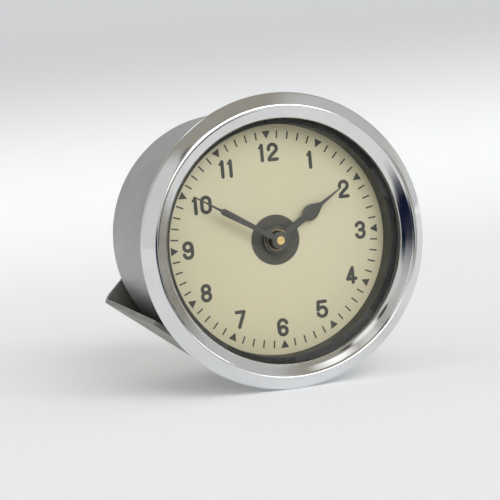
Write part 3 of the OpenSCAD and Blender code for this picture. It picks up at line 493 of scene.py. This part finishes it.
def make_piece(name: str, surface: Surface, finish: Finish, body: Body, replaces: Sequence[str],
               sharp: float = 40.0) -> bpy.types.Object:
    """Puts a surface into a mesh object that rides on a body.

    Args:
        name: The piece's name.
        surface: Points in millimetres, and quads.
        finish: Its finish.
        body: The body that it rides on.
        replaces: CAD nodes that it stands for.
        sharp: Edges bent more than this many degrees stay crisp.

    Returns:
        The new object, at the origin.
    """
    mesh = closed_mesh(name, surface)
    mesh.polygons.foreach_set("use_smooth", np.ones(len(mesh.polygons), bool))
    mesh.set_sharp_from_angle(angle=math.radians(sharp))
    mesh.materials.append(finish.material())
    obj = linked(name, mesh)
    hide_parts(*replaces)
    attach(obj, body.value)
    LOG.info("%s: %d faces", name, len(mesh.polygons))
    return obj


# Sub-assemblies


@dataclass
class Front:
    """Bezel, glass and shade ring, all turned about the case axis."""

    bezel: Profile = (
        (27.1, 0.0, 0.1), (29.6, 0.0, 0.2), (30.19, -0.55, 0.4), (30.19, -1.15, 0.5), (28.95, -2.37, 1.2),
        (27.55, -3.58, 0.8), (27.02, -3.06, 0.06), (25.6, -2.24, 0.5), (24.95, -1.75, 0.3),
        (25.0, -1.3, 0.05), (28.5, -1.3, 0.05), (28.5, -0.5, 0.05), (27.1, -0.5, 0.05))
    glass: Profile = ((0.0, -1.0, 0.0), (25.3, -1.0, 0.15), (25.3, 0.8, 0.15), (0.0, 0.8, 0.0))
    shade: Profile = (
        (23.8, 0.8, 0.05), (25.3, 0.8, 0.05), (25.3, 5.0, 0.05), (23.75, 5.0, 0.03), (23.75, 4.86, 0.05))

    def build(self) -> None:
        """Turns the three rings."""
        make_piece("bezel_ring", revolve(soften(self.bezel, 11), 360), CHROME, Body.CASE, ["bezel"], 50.0)
        make_piece("front_glass", revolve(soften(self.glass), 160), GLASS, Body.CASE, ["glass"])
        make_piece("shade_wall", revolve(soften(self.shade), 256), SHADE, Body.CASE, ["shade_ring"])


@dataclass
class DialFace:
    """Ivory dial plate and its dark centre disc."""

    plate: Profile = ((2.6, 5.0, 0.04), (25.2, 5.0, 0.04), (25.2, 5.5, 0.04), (2.6, 5.5, 0.04))
    disc: Profile = ((2.6, 4.84, 0.05), (5.18, 4.84, 0.06), (5.18, 5.0, 0.02), (2.6, 5.0, 0.02))

    def build(self) -> None:
        """Turns the plate and the disc."""
        make_piece("dial_enamel", revolve(soften(self.plate), 200), IVORY, Body.CASE, ["dial_plate"])
        make_piece("dial_disc", revolve(soften(self.disc), 128), DISC_INK, Body.CASE, ["dial_centre"])


@dataclass(frozen=True)
class HandShape:
    """One hand: distance along it and half width, smoothly joined, with a turned boss."""

    name: str
    angle: float
    along: Sequence[Pair]
    front: float
    boss: Profile
    body: Body
    node: str
    thickness: float = 0.35

    def outline(self, count: int = 220) -> tuple[np.ndarray, np.ndarray]:
        """Distances and half widths between the given ones.

        The half width eases from each given value to the next with a cubic whose slopes are limited, so
        that the outline never bulges past its given values.

        Args:
            count: Rows along the hand.

        Returns:
            Distance and half width of every row.
        """
        x, w = np.asarray(self.along, float).T
        slope = np.diff(w) / np.diff(x)
        before, after = slope[:-1], slope[1:]
        product = before * after
        inner = np.where(product > 0, 2 * product / (before + after + 1e-12), 0.0)
        m = np.concatenate([slope[:1], inner, slope[-1:]])
        t = np.linspace(x[0], x[-1], count)
        k = np.clip(np.searchsorted(x, t, "right") - 1, 0, len(x) - 2)
        h = x[k + 1] - x[k]
        u = (t - x[k]) / h
        width = ((2 * u**3 - 3 * u**2 + 1) * w[k] + (u**3 - 2 * u**2 + u) * h * m[k]
                 + (3 * u**2 - 2 * u**3) * w[k + 1] + (u**3 - u**2) * h * m[k + 1])
        return t, width

    def blade(self) -> Surface:
        """Sweeps a flat rounded section along the hand.

        The section is a super-ellipse: half width times the cosine and half thickness times the sine, each
        raised to a small power that squares it off.

        Returns:
            Points and quads.
        """
        t, width = self.outline()
        f = np.linspace(0.0, TAU, 28, endpoint=False)
        across = np.sign(np.cos(f)) * np.abs(np.cos(f)) ** 0.35
        through = np.sign(np.sin(f)) * np.abs(np.sin(f)) ** 0.6
        along = np.concatenate([t[:1], t, t[-1:]])[:, None]
        side = np.concatenate([[0.0], width, [0.0]])[:, None] * across
        half = self.thickness / 2
        thick = np.concatenate([[0.0], np.full(len(t), half), [0.0]])[:, None] * through
        a = math.radians(self.angle)
        x = along * math.sin(a) + side * math.cos(a)
        z = along * math.cos(a) - side * math.sin(a)
        points = np.stack([x, self.front + half + thick, z], -1).reshape(-1, 3)
        return points, grid_faces(len(along), len(f), False, True)

    def build(self) -> None:
        """Joins the boss to the blade."""
        surface = joined([self.blade(), revolve(soften(self.boss), 72)])
        make_piece(self.name, surface, HAND_PAINT, self.body, [self.node], 55.0)


@dataclass
class Hands:
    """Both hands and the arbor, whose turned front end is the centre pin."""

    minute: HandShape = HandShape(
        "minute_pointer", 301.8, front=1.6, body=Body.MINUTE, node="minute_hand",
        along=((1.3, 0.72), (6.0, 0.53), (13.4, 0.69), (14.35, 0.26), (15.2, 0.22), (19.9, 0.13)),
        boss=((0.92, 1.48, 0.05), (1.85, 1.48, 0.26), (1.85, 2.12, 0.1), (0.92, 2.12, 0.05)))
    hour: HandShape = HandShape(
        "hour_pointer", 58.0, front=3.6, body=Body.HOUR, node="hour_hand",
        along=((2.3, 0.9), (3.4, 0.76), (5.0, 0.72), (7.0, 0.72), (7.4, 0.78), (7.7, 1.08), (8.3, 1.44),
               (9.1, 1.62), (9.9, 1.5), (10.8, 1.08), (11.6, 0.65), (12.4, 0.37), (13.8, 0.27), (17.4, 0.12)),
        boss=((2.22, 3.6, 0.04), (2.9, 3.6, 0.16), (2.9, 3.95, 0.1), (2.22, 3.95, 0.04)))
    pin: Profile = (
        (0.0, 1.52, 0.0), (0.14, 1.46, 0.05), (0.3, 1.34, 0.1), (0.72, 1.31, 0.12), (0.9, 1.46, 0.12),
        (0.9, 2.0, 0.02), (1.0, 2.2, 0.02), (1.0, 49.4, 0.1), (0.0, 49.4, 0.0))

    def build(self) -> None:
        """Makes the hands and the arbor."""
        self.minute.build()
        self.hour.build()
        make_piece("centre_pin", revolve(soften(self.pin, 5), 64), PIN_BRASS, Body.MINUTE, ["centre_arbor"])


@dataclass
class Can:
    """The satin can with its rounded rear corner."""

    wall: Profile = (
        (25.4, -1.0, 0.05), (25.9, -1.0, 0.1), (25.9, -0.6, 0.03), (26.2, -0.3, 0.03), (26.2, 5.5, 0.06),
        (25.9, 5.8, 0.1), (25.9, 38.6, 0.6), (2.43, 38.6, 0.05), (2.43, 38.0, 0.05), (25.4, 38.0, 0.8))

    def build(self) -> None:
        """Turns the can."""
        make_piece("can_wall", revolve(soften(self.wall, 9), 256), CAN, Body.CASE, ["case_shell"])


@dataclass
class Clamp:
    """The skewed U strip, its washers, studs, hexagon nuts and knurled nuts."""

    front: float = 6.0
    bridge: Pair = (40.6, 41.6)
    inner: Pair = (26.3, 27.1)
    bend: float = 1.0
    far: Pair = (14.8, 12.7)
    near: Pair = (8.0, 6.0)
    edge: float = 0.16
    knob_hole: float = 6.2
    stud_hole: float = 2.4
    stud_at: float = 14.0
    stud_r: float = 2.0
    stud_y: Pair = (38.4, 57.0)
    stud_tip: Pair = (0.45, 0.4)
    pitch: float = 0.8
    hex_width: float = 7.0
    hexagon: Profile = (
        (2.02, 38.6, 0.05), (4.04, 38.6, 0.05), (4.04, 39.9, 0.1), (3.4, 40.4, 0.05), (2.02, 40.4, 0.05))
    washer: Profile = ((2.4, 41.6, 0.08), (5.0, 41.6, 0.12), (5.0, 42.3, 0.2), (2.4, 42.3, 0.08))
    nut: Profile = (
        (2.05, 42.4, 0.1), (4.5, 42.4, 0.1), (5.0, 42.95, 0.2), (5.0, 46.85, 0.2), (4.4, 47.4, 0.15),
        (3.0, 47.4, 0.1), (2.05, 47.0, 0.1))

    def path(self) -> tuple[np.ndarray, np.ndarray]:
        """The middle line of the strip's inner face, from one leg's front end to the other's.

        Straight legs lead into quarter-circle bends of the inside radius and a straight bridge.

        Returns:
            Points of distance along n and depth, and the outward normal at each.
        """
        q = np.linspace(0.0, math.pi / 2, 9)[1:-1]
        c = np.array([self.inner[0] - self.bend, self.bridge[0] - self.bend])
        arc_n = np.stack([np.cos(q), np.sin(q)], 1)
        leg_y = np.linspace(self.front, c[1], 16)
        leg_x = np.interp(leg_y, [self.front, c[1]], self.inner[::-1])
        flat_x = np.linspace(c[0], 0.0, 12)
        leg = np.stack([leg_x, leg_y], 1)
        flat = np.stack([flat_x, np.full_like(flat_x, self.bridge[0])], 1)
        half = np.concatenate([leg, c + self.bend * arc_n, flat])
        leg_n, flat_n = np.tile([1.0, 0.0], (len(leg), 1)), np.tile([0.0, 1.0], (len(flat), 1))
        half_n = np.concatenate([leg_n, arc_n, flat_n])
        flip = np.array([-1.0, 1.0])
        return np.concatenate([half * flip, half[-2::-1]]), np.concatenate([half_n * flip, half_n[-2::-1]])

    def strip(self) -> None:
        """Carries a thin rectangle along the path, cuts the three holes and rounds the edges.

        The two sides of the strip lie at distances across the clamp that run evenly along the bridge from one
        leg's reach to the other's, and narrow evenly along each leg.
        """
        p, normal = self.path()
        top = self.bridge[0] - self.bend
        lean = np.clip((top - p[:, 1]) / (top - self.front), 0.0, 1.0)
        k = np.clip(p[:, 0] / (self.inner[0] - self.bend), -1.0, 1.0)
        far = self.far[0] + (self.far[1] - self.far[0]) * lean
        near = self.near[0] + (self.near[1] - self.near[0]) * lean
        left = -(far * (1 - k) + near * (1 + k)) / 2
        right = (near * (1 - k) + far * (1 + k)) / 2
        outer = p + normal * (self.bridge[1] - self.bridge[0])
        section = np.stack([p, p, outer, outer], 1)
        x, z = rear_point(np.stack([left, right, right, left], 1), section[..., 0])
        points = np.stack([x, section[..., 1], z], -1).reshape(-1, 3)
        last = len(points)
        ends = [[3, 2, 1, 0], [last - 4, last - 3, last - 2, last - 1]]
        surface = points, np.concatenate([grid_faces(len(p), 4, False, True), ends])
        obj = make_piece("clamp_strap", surface, STRIP, Body.CLAMP, ["clamp_strip"], 30.0)
        self._hole(obj, rear_point(0.0, self.stud_at), self.stud_hole)
        self._hole(obj, rear_point(0.0, -self.stud_at), self.stud_hole)
        self._hole(obj, np.zeros(2), self.knob_hole)
        self._round_edges(obj)

    def _hole(self, obj: bpy.types.Object, place: np.ndarray, radius: float) -> None:
        """Cuts a round hole through the bridge.

        Args:
            obj: The strip.
            place: x and z of the hole.
            radius: Its radius.
        """
        low, high = self.bridge[0] - 1.0, self.bridge[1] + 1.0
        line = np.array([[0.0, low], [radius, low], [radius, high], [0.0, high]])
        cutter = linked("hole", closed_mesh("hole", moved(revolve(line, 64), place)))
        cut = obj.modifiers.new("hole", "BOOLEAN")
        cut.operation = "DIFFERENCE"
        cut.solver = "EXACT"
        cut.object = cutter
        self._bake(obj)
        bpy.data.objects.remove(cutter)

    @staticmethod
    def _bake(obj: bpy.types.Object) -> None:
        """Writes an object's modifiers into its mesh.

        Args:
            obj: The object.
        """
        graph = bpy.context.evaluated_depsgraph_get()
        mesh = bpy.data.meshes.new_from_object(obj.evaluated_get(graph), depsgraph=graph)
        obj.modifiers.clear()
        obj.data = mesh

    def _round_edges(self, obj: bpy.types.Object) -> None:
        """Rounds the strip's sheared edges a little.

        Args:
            obj: The strip.
        """
        bevel = obj.modifiers.new("edges", "BEVEL")
        bevel.width = self.edge * MM
        bevel.segments = 3
        bevel.limit_method = "ANGLE"
        bevel.angle_limit = math.radians(50)
        self._bake(obj)

    def stud(self, name: str, place: np.ndarray) -> None:
        """A threaded stud with a chamfered end.

        The radius at depth d and angle a dips by a triangle wave of (d / pitch - a / turn), which is a helix.

        Args:
            name: The piece's name.
            place: x and z of its axis.
        """
        start, end = self.stud_y
        tip, chamfer = self.stud_tip
        rows = int((end - start) / self.pitch * 6) + 1
        thread = np.stack([np.full(rows, self.stud_r), np.linspace(start, end - chamfer, rows)], 1)
        line = np.concatenate([[[0.0, start]], thread, [[self.stud_r - tip, end], [0.0, end]]])

        def helix(r: np.ndarray, d: np.ndarray, a: np.ndarray) -> np.ndarray:
            """Cuts the thread into the full-radius rows."""
            phase = (d / self.pitch - a / TAU) % 1.0
            return np.where(r > self.stud_r - 0.01, r - 0.32 * self.pitch * np.abs(2 * phase - 1.0), r)

        surface = moved(revolve(line, 36, helix), place)
        make_piece(name, surface, STEEL, Body.CASE, ["mounting_studs"], 70.0)

    def build(self) -> None:
        """Makes the strip and all that holds it."""
        self.strip()
        knurled = revolve(soften(self.nut), 288, knurl_radius(4.62, 0.32))
        places = []
        for way, body, node in ((1, Body.NUT_UPPER, "nut_upper"), (-1, Body.NUT_LOWER, "nut_lower")):
            place = rear_point(0.0, way * self.stud_at)
            make_piece("knurled_" + node, moved(knurled, place), BRASS, body, [node], 60.0)
            self.stud("stud_" + node, place)
            places.append(place)
        ring = revolve(soften(self.washer), 72)
        rings = joined([moved(ring, place) for place in places])
        make_piece("clamp_rings", rings, STEEL, Body.CLAMP, ["clamp_washers"])
        hexagon = revolve(soften(self.hexagon), 72, hexagon_radius(self.hex_width))
        hexagons = joined([moved(hexagon, place) for place in places])
        make_piece("case_hexagons", hexagons, STEEL, Body.CASE, ["case_nuts"], 25.0)


@dataclass
class RearFittings:
    """Setting knob with its bush, and the supply terminal."""

    knob: Profile = (
        (1.02, 40.2, 0.05), (2.6, 40.2, 0.15), (2.6, 43.3, 0.3), (4.8, 43.6, 0.3), (5.2, 44.2, 0.15),
        (5.2, 49.8, 0.2), (4.7, 50.6, 0.35), (2.6, 50.45, 0.4), (0.0, 50.35, 0.0), (0.0, 49.45, 0.0),
        (1.02, 49.4, 0.05))
    bush: Profile = (
        (1.05, 36.5, 0.05), (2.4, 36.5, 0.05), (2.4, 38.6, 0.03), (3.4, 38.6, 0.06), (3.4, 39.4, 0.2),
        (1.05, 39.4, 0.08))
    terminal_at: float = 20.4
    outer_collar: Profile = (
        (1.52, 38.02, 0.03), (2.28, 38.02, 0.03), (2.28, 38.6, 0.02), (3.3, 38.6, 0.06), (3.3, 40.4, 0.3),
        (2.9, 40.8, 0.2), (1.52, 40.8, 0.05))
    inner_collar: Profile = ((1.52, 36.4, 0.05), (3.3, 36.4, 0.1), (3.3, 38.0, 0.1), (1.52, 38.0, 0.05))
    nut: Profile = (
        (1.52, 0.0, 0.05), (2.5, 0.0, 0.05), (2.89, 0.3, 0.05), (2.89, 1.9, 0.05), (2.5, 2.18, 0.05),
        (1.52, 2.18, 0.05))
    nut_starts: Pair = (40.8, 43.02)
    nut_width: float = 5.0

    def build(self) -> None:
        """Makes the knob, bush and terminal pieces."""
        knob = revolve(soften(self.knob), 288, knurl_radius(4.85, 0.3))
        make_piece("set_knob_grip", knob, CHROME, Body.MINUTE, ["set_knob"], 60.0)
        make_piece("bush_ring", revolve(soften(self.bush), 72), BRASS, Body.CASE, ["arbor_bush"])
        place = rear_point(self.terminal_at, 0.0)
        collars = joined([revolve(soften(line), 72) for line in (self.outer_collar, self.inner_collar)])
        make_piece("terminal_rings", moved(collars, place), BROWN, Body.CASE, ["terminal_collars"])
        flats = hexagon_radius(self.nut_width)
        nuts = joined([revolve(soften(self.nut) + [0.0, start], 72, flats) for start in self.nut_starts])
        make_piece("terminal_hexagons", moved(nuts, place), BRASS, Body.CASE, ["terminal_nuts"], 25.0)


@dataclass
class Movement:
    """The works inside the can, which keep their CAD shapes."""

    special: dict[str, Finish] = field(
        default_factory=lambda: {"cannon_pinion": DARK_STEEL, "hour_wheel": PIPE_BRASS})

    def dress(self, frame: dict) -> None:
        """Gives every CAD node that still shows the finish of its slot.
        """
        slots = {p["node"]: p["material_slot"] for p in frame["record"]["subparts"]}
        for name, obj in frame["nodes"].items():
            finish = self.special.get(name, SLOT_FINISH[slots[name]])
            obj.data.materials.clear()
            obj.data.materials.append(finish.material())
        LOG.info("dressed %d packed pieces", len(frame["nodes"]))


# Studio


@dataclass(frozen=True)
class Patch:
    """A soft round patch of the room: full tone within the inner angle, none beyond the outer one."""

    toward: tuple[float, float, float]
    inner: float
    outer: float
    tone: RGB


@dataclass
class Room:
    """The even room round the studio, which lights the clock and shows in its chrome.

    The tone runs from the horizon's to the ceiling's with the height of the direction, and soft patches for
    the window, pale walls and dark corners lie on top.
    """

    horizon: RGB = (0.74, 0.74, 0.73)
    ceiling: RGB = (0.37, 0.35, 0.30)
    full_ceiling: float = 0.85
    patches: Sequence[Patch] = (
        Patch((0.16, -0.89, 0.42), 17.0, 26.0, (4.7, 4.7, 4.75)),
        Patch((-0.30, -0.62, 0.72), 4.0, 12.0, (1.05, 1.05, 1.05)),
        Patch((-0.80, -0.42, 0.42), 13.0, 30.0, (0.72, 0.72, 0.72)),
        Patch((-0.50, -0.43, 0.75), 2.0, 7.0, (0.14, 0.14, 0.13)),
        Patch((-0.45, -0.68, 0.58), 2.5, 6.0, (0.04, 0.04, 0.05)),
        Patch((-0.10, -0.58, 0.80), 1.5, 5.0, (0.04, 0.04, 0.06)),
        Patch((0.30, -0.95, 0.0), 8.0, 16.0, (0.05, 0.04, 0.035)),
        Patch((-0.335, 0.414, 0.846), 3.0, 9.0, (2.4, 2.5, 2.7)),
        Patch((0.72, -0.20, 0.60), 18.0, 36.0, (0.58, 0.58, 0.575)))

    def build(self) -> None:
        """Makes the world: a mix for the height and one more for every patch."""
        world = bpy.data.worlds.new("room")
        world.use_nodes = True
        tree = world.node_tree
        way = tree.nodes.new("ShaderNodeTexCoord").outputs["Object"]
        height = self._share(tree, way, (0.0, 0.0, 1.0), (0.0, self.full_ceiling))
        tone = blend(tree, height, self.horizon, self.ceiling)
        for patch in self.patches:
            edge = (math.cos(math.radians(patch.outer)), math.cos(math.radians(patch.inner)))
            tone = blend(tree, self._share(tree, way, patch.toward, edge), tone, patch.tone)
        tree.links.new(tone, tree.nodes["Background"].inputs["Color"])
        bpy.context.scene.world = world

    @staticmethod
    def _share(tree: Tree, way: Socket, toward: tuple[float, float, float], edge: Pair) -> Socket:
        """How far a direction points towards another, eased from 0 to 1.

        Args:
            tree: The world's nodes.
            way: The direction looked along.
            toward: The direction compared with it.
            edge: Cosines of the angle between them that give 0 and 1.

        Returns:
            The share's socket.
        """
        dot = tree.nodes.new("ShaderNodeVectorMath")
        dot.operation = "DOT_PRODUCT"
        dot.inputs[1].default_value = Vector(toward).normalized()
        tree.links.new(way, dot.inputs[0])
        return remap(tree, dot.outputs["Value"], edge, eased=True)


@dataclass(frozen=True)
class Card:
    """A card standing on the floor on an arc round the clock, which only the chrome and the glass show.

    The span gives the directions of its ends in degrees from x towards y, and top its upper edge's height.
    """

    name: str
    radius: float
    span: Pair
    top: float
    tone: RGB


@dataclass
class Studio:
    """Camera of the photograph, pale sweep, reflected cards and the room's light."""

    eye: tuple[float, float, float] = (-139.6, -416.5, 37.6)
    right: tuple[float, float, float] = (0.94637, -0.30993, -0.09122)
    up: tuple[float, float, float] = (0.11381, 0.05556, 0.99195)
    focal: float = 2169.8
    frame_width: float = 500.0
    sensor: float = 36.0
    nudge: Pair = (1.5, 0.5)
    floor: float = -30.25
    reach: float = 3000.0
    sweep_start: float = 250.0
    sweep_r: float = 350.0
    paper_low: RGB = (0.905, 0.92, 0.94)
    # darker tone of the backdrop's upper part: painted shade
    paper_high: RGB = (0.525, 0.535, 0.55)
    paper_rise: Pair = (-15.0, 50.0)
    paper_glow: float = 0.16
    cards: Sequence[Card] = (
        Card("dark_card", 300.0, (-136.0, -50.0), 16.0, (0.03, 0.028, 0.025)),
        Card("blue_card", 150.0, (-147.0, -119.0), 36.0, (0.015, 0.04, 0.075)),
        Card("near_blue_card", 58.0, (-158.0, -74.0), 14.0, (0.010, 0.016, 0.055)),
        Card("near_beige_card", 74.0, (-38.0, 6.0), 10.0, (0.60, 0.57, 0.51)),
        Card("beige_card", 300.0, (-58.0, 14.0), 130.0, (0.48, 0.455, 0.40)))
    card_grid: tuple[int, int] = (40, 10)

    def camera(self) -> None:
        """Places the camera where the fit puts it, turned by a pixel to share what error is left."""
        right, up = Vector(self.right).normalized(), Vector(self.up).normalized()
        back = right.cross(up).normalized()
        back = (back + right * (self.nudge[0] / self.focal) + up * (self.nudge[1] / self.focal)).normalized()
        right = (right - back * right.dot(back)).normalized()
        up = back.cross(right).normalized()
        data = bpy.data.cameras.new("camera")
        data.sensor_width = self.sensor
        data.lens = self.sensor * self.focal / self.frame_width
        data.clip_start, data.clip_end = 0.01, 20.0
        cam = bpy.data.objects.new("camera", data)
        spin = Matrix((right, up, back)).transposed().to_4x4()
        cam.matrix_world = Matrix.Translation(Vector(self.eye) * MM) @ spin
        bpy.context.collection.objects.link(cam)
        bpy.context.scene.camera = cam

    @staticmethod
    def seen(tree: Tree, share: float) -> Socket:
        """A value for rays from the camera, from metal and through glass, so that it lights nothing else.

        Args:
            tree: The material's nodes.
            share: The value on those rays.

        Returns:
            The value's socket.
        """
        path = tree.nodes.new("ShaderNodeLightPath")
        total = path.outputs["Is Camera Ray"]
        for kind in ("Is Glossy Ray", "Is Transmission Ray"):
            more = tree.nodes.new("ShaderNodeMath")
            more.operation = "MAXIMUM"
            tree.links.new(total, more.inputs[0])
            tree.links.new(path.outputs[kind], more.inputs[1])
            total = more.outputs["Value"]
        return remap(tree, total, (0.0, 1.0), (0.0, share))

    @staticmethod
    def stage_sheet(name: str, points: np.ndarray, shape: tuple[int, int]) -> bpy.types.Object:
        """A matt sheet of the stage over a grid of points.

        Args:
            name: The sheet's name.
            points: Grid points in millimetres, one row each.
            shape: Points along the first and the second parameter.

        Returns:
            The new object.
        """
        mat = bpy.data.materials.new(name)
        mat.use_nodes = True
        shader = mat.node_tree.nodes["Principled BSDF"]
        shader.inputs["Roughness"].default_value = 0.9
        shader.inputs["Specular IOR Level"].default_value = 0.1
        mesh = bpy.data.meshes.new(name)
        mesh.from_pydata((points * MM).tolist(), [], grid_faces(*shape, False, False).tolist())
        mesh.polygons.foreach_set("use_smooth", np.ones(len(mesh.polygons), bool))
        mesh.materials.append(mat)
        obj = linked(name, mesh)
        return obj

    def sweep(self) -> None:
        """A pale floor that turns up into a low backdrop: a straight and a quarter circle.

        Its colour eases from the pale low tone to the darker high tone with height, the darker upper part
        being painted shade, and a share of it glows for camera, metal and glass.
        """
        q = np.linspace(0.0, math.pi / 2, 24)[1:]
        y = np.concatenate([[-self.reach, self.sweep_start], self.sweep_start + self.sweep_r * np.sin(q)])
        z = self.floor + np.concatenate([[0.0, 0.0], self.sweep_r * (1 - np.cos(q))])
        x = np.tile([-self.reach, self.reach], len(y))
        points = np.stack([x, np.repeat(y, 2), np.repeat(z, 2)], 1)
        tree = self.stage_sheet("pale_paper", points, (len(y), 2)).data.materials[0].node_tree
        shader = tree.nodes["Principled BSDF"]
        split = tree.nodes.new("ShaderNodeSeparateXYZ")
        tree.links.new(tree.nodes.new("ShaderNodeTexCoord").outputs["Object"], split.inputs["Vector"])
        low, high = self.paper_rise
        rise = remap(tree, split.outputs["Z"], (low * MM, high * MM), eased=True)
        tone = blend(tree, rise, self.paper_low, self.paper_high)
        tree.links.new(tone, shader.inputs["Base Color"])
        tree.links.new(tone, shader.inputs["Emission Color"])
        tree.links.new(self.seen(tree, self.paper_glow), shader.inputs["Emission Strength"])

    def stand(self, card: Card) -> None:
        """Stands a card up and fades it away all round.

        The share kept is an eased ramp over a quarter of its length at each end, times one over its lower
        three tenths and its upper half.

        Args:
            card: The card.
        """
        rows, cols = self.card_grid
        t, h = np.meshgrid(np.linspace(0.0, 1.0, rows), np.linspace(0.0, 1.0, cols), indexing="ij")
        a = np.radians(card.span[0] + (card.span[1] - card.span[0]) * t)
        foot = self.floor + 0.5
        z = foot + (card.top - foot) * h
        points = np.stack([card.radius * np.cos(a), card.radius * np.sin(a), z], -1)
        obj = self.stage_sheet(card.name, points.reshape(-1, 3), self.card_grid)
        ends = np.clip(np.minimum(t, 1.0 - t) / 0.25, 0.0, 1.0)
        edges = np.clip(np.minimum(h / 0.3, (1.0 - h) / 0.5), 0.0, 1.0)
        share = (ends**2 * (3 - 2 * ends) * edges**2 * (3 - 2 * edges)).reshape(-1)
        obj.data.attributes.new("share", "FLOAT", "POINT").data.foreach_set("value", share)
        tree = obj.data.materials[0].node_tree
        shader = tree.nodes["Principled BSDF"]
        shader.inputs["Base Color"].default_value = (*card.tone, 1.0)
        reader = tree.nodes.new("ShaderNodeAttribute")
        reader.attribute_name = "share"
        tree.links.new(reader.outputs["Fac"], shader.inputs["Alpha"])
        obj.visible_camera = obj.visible_diffuse = obj.visible_shadow = False

    def build(self) -> None:
        """Sets camera, sweep, cards, room and view."""
        self.camera()
        self.sweep()
        for card in self.cards:
            self.stand(card)
        Room().build()
        bpy.context.scene.view_settings.view_transform = "Standard"


def main() -> None:
    logging.basicConfig(level=logging.INFO, format="%(name)s %(message)s")
    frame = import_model()
    Movement().dress(frame)
    for part in (Can(), DialFace(), Front(), Hands(), Clamp(), RearFittings()):
        part.build()
        LOG.info("built %s", type(part).__name__)
    Studio().build()


if __name__ == "__main__":
    main()
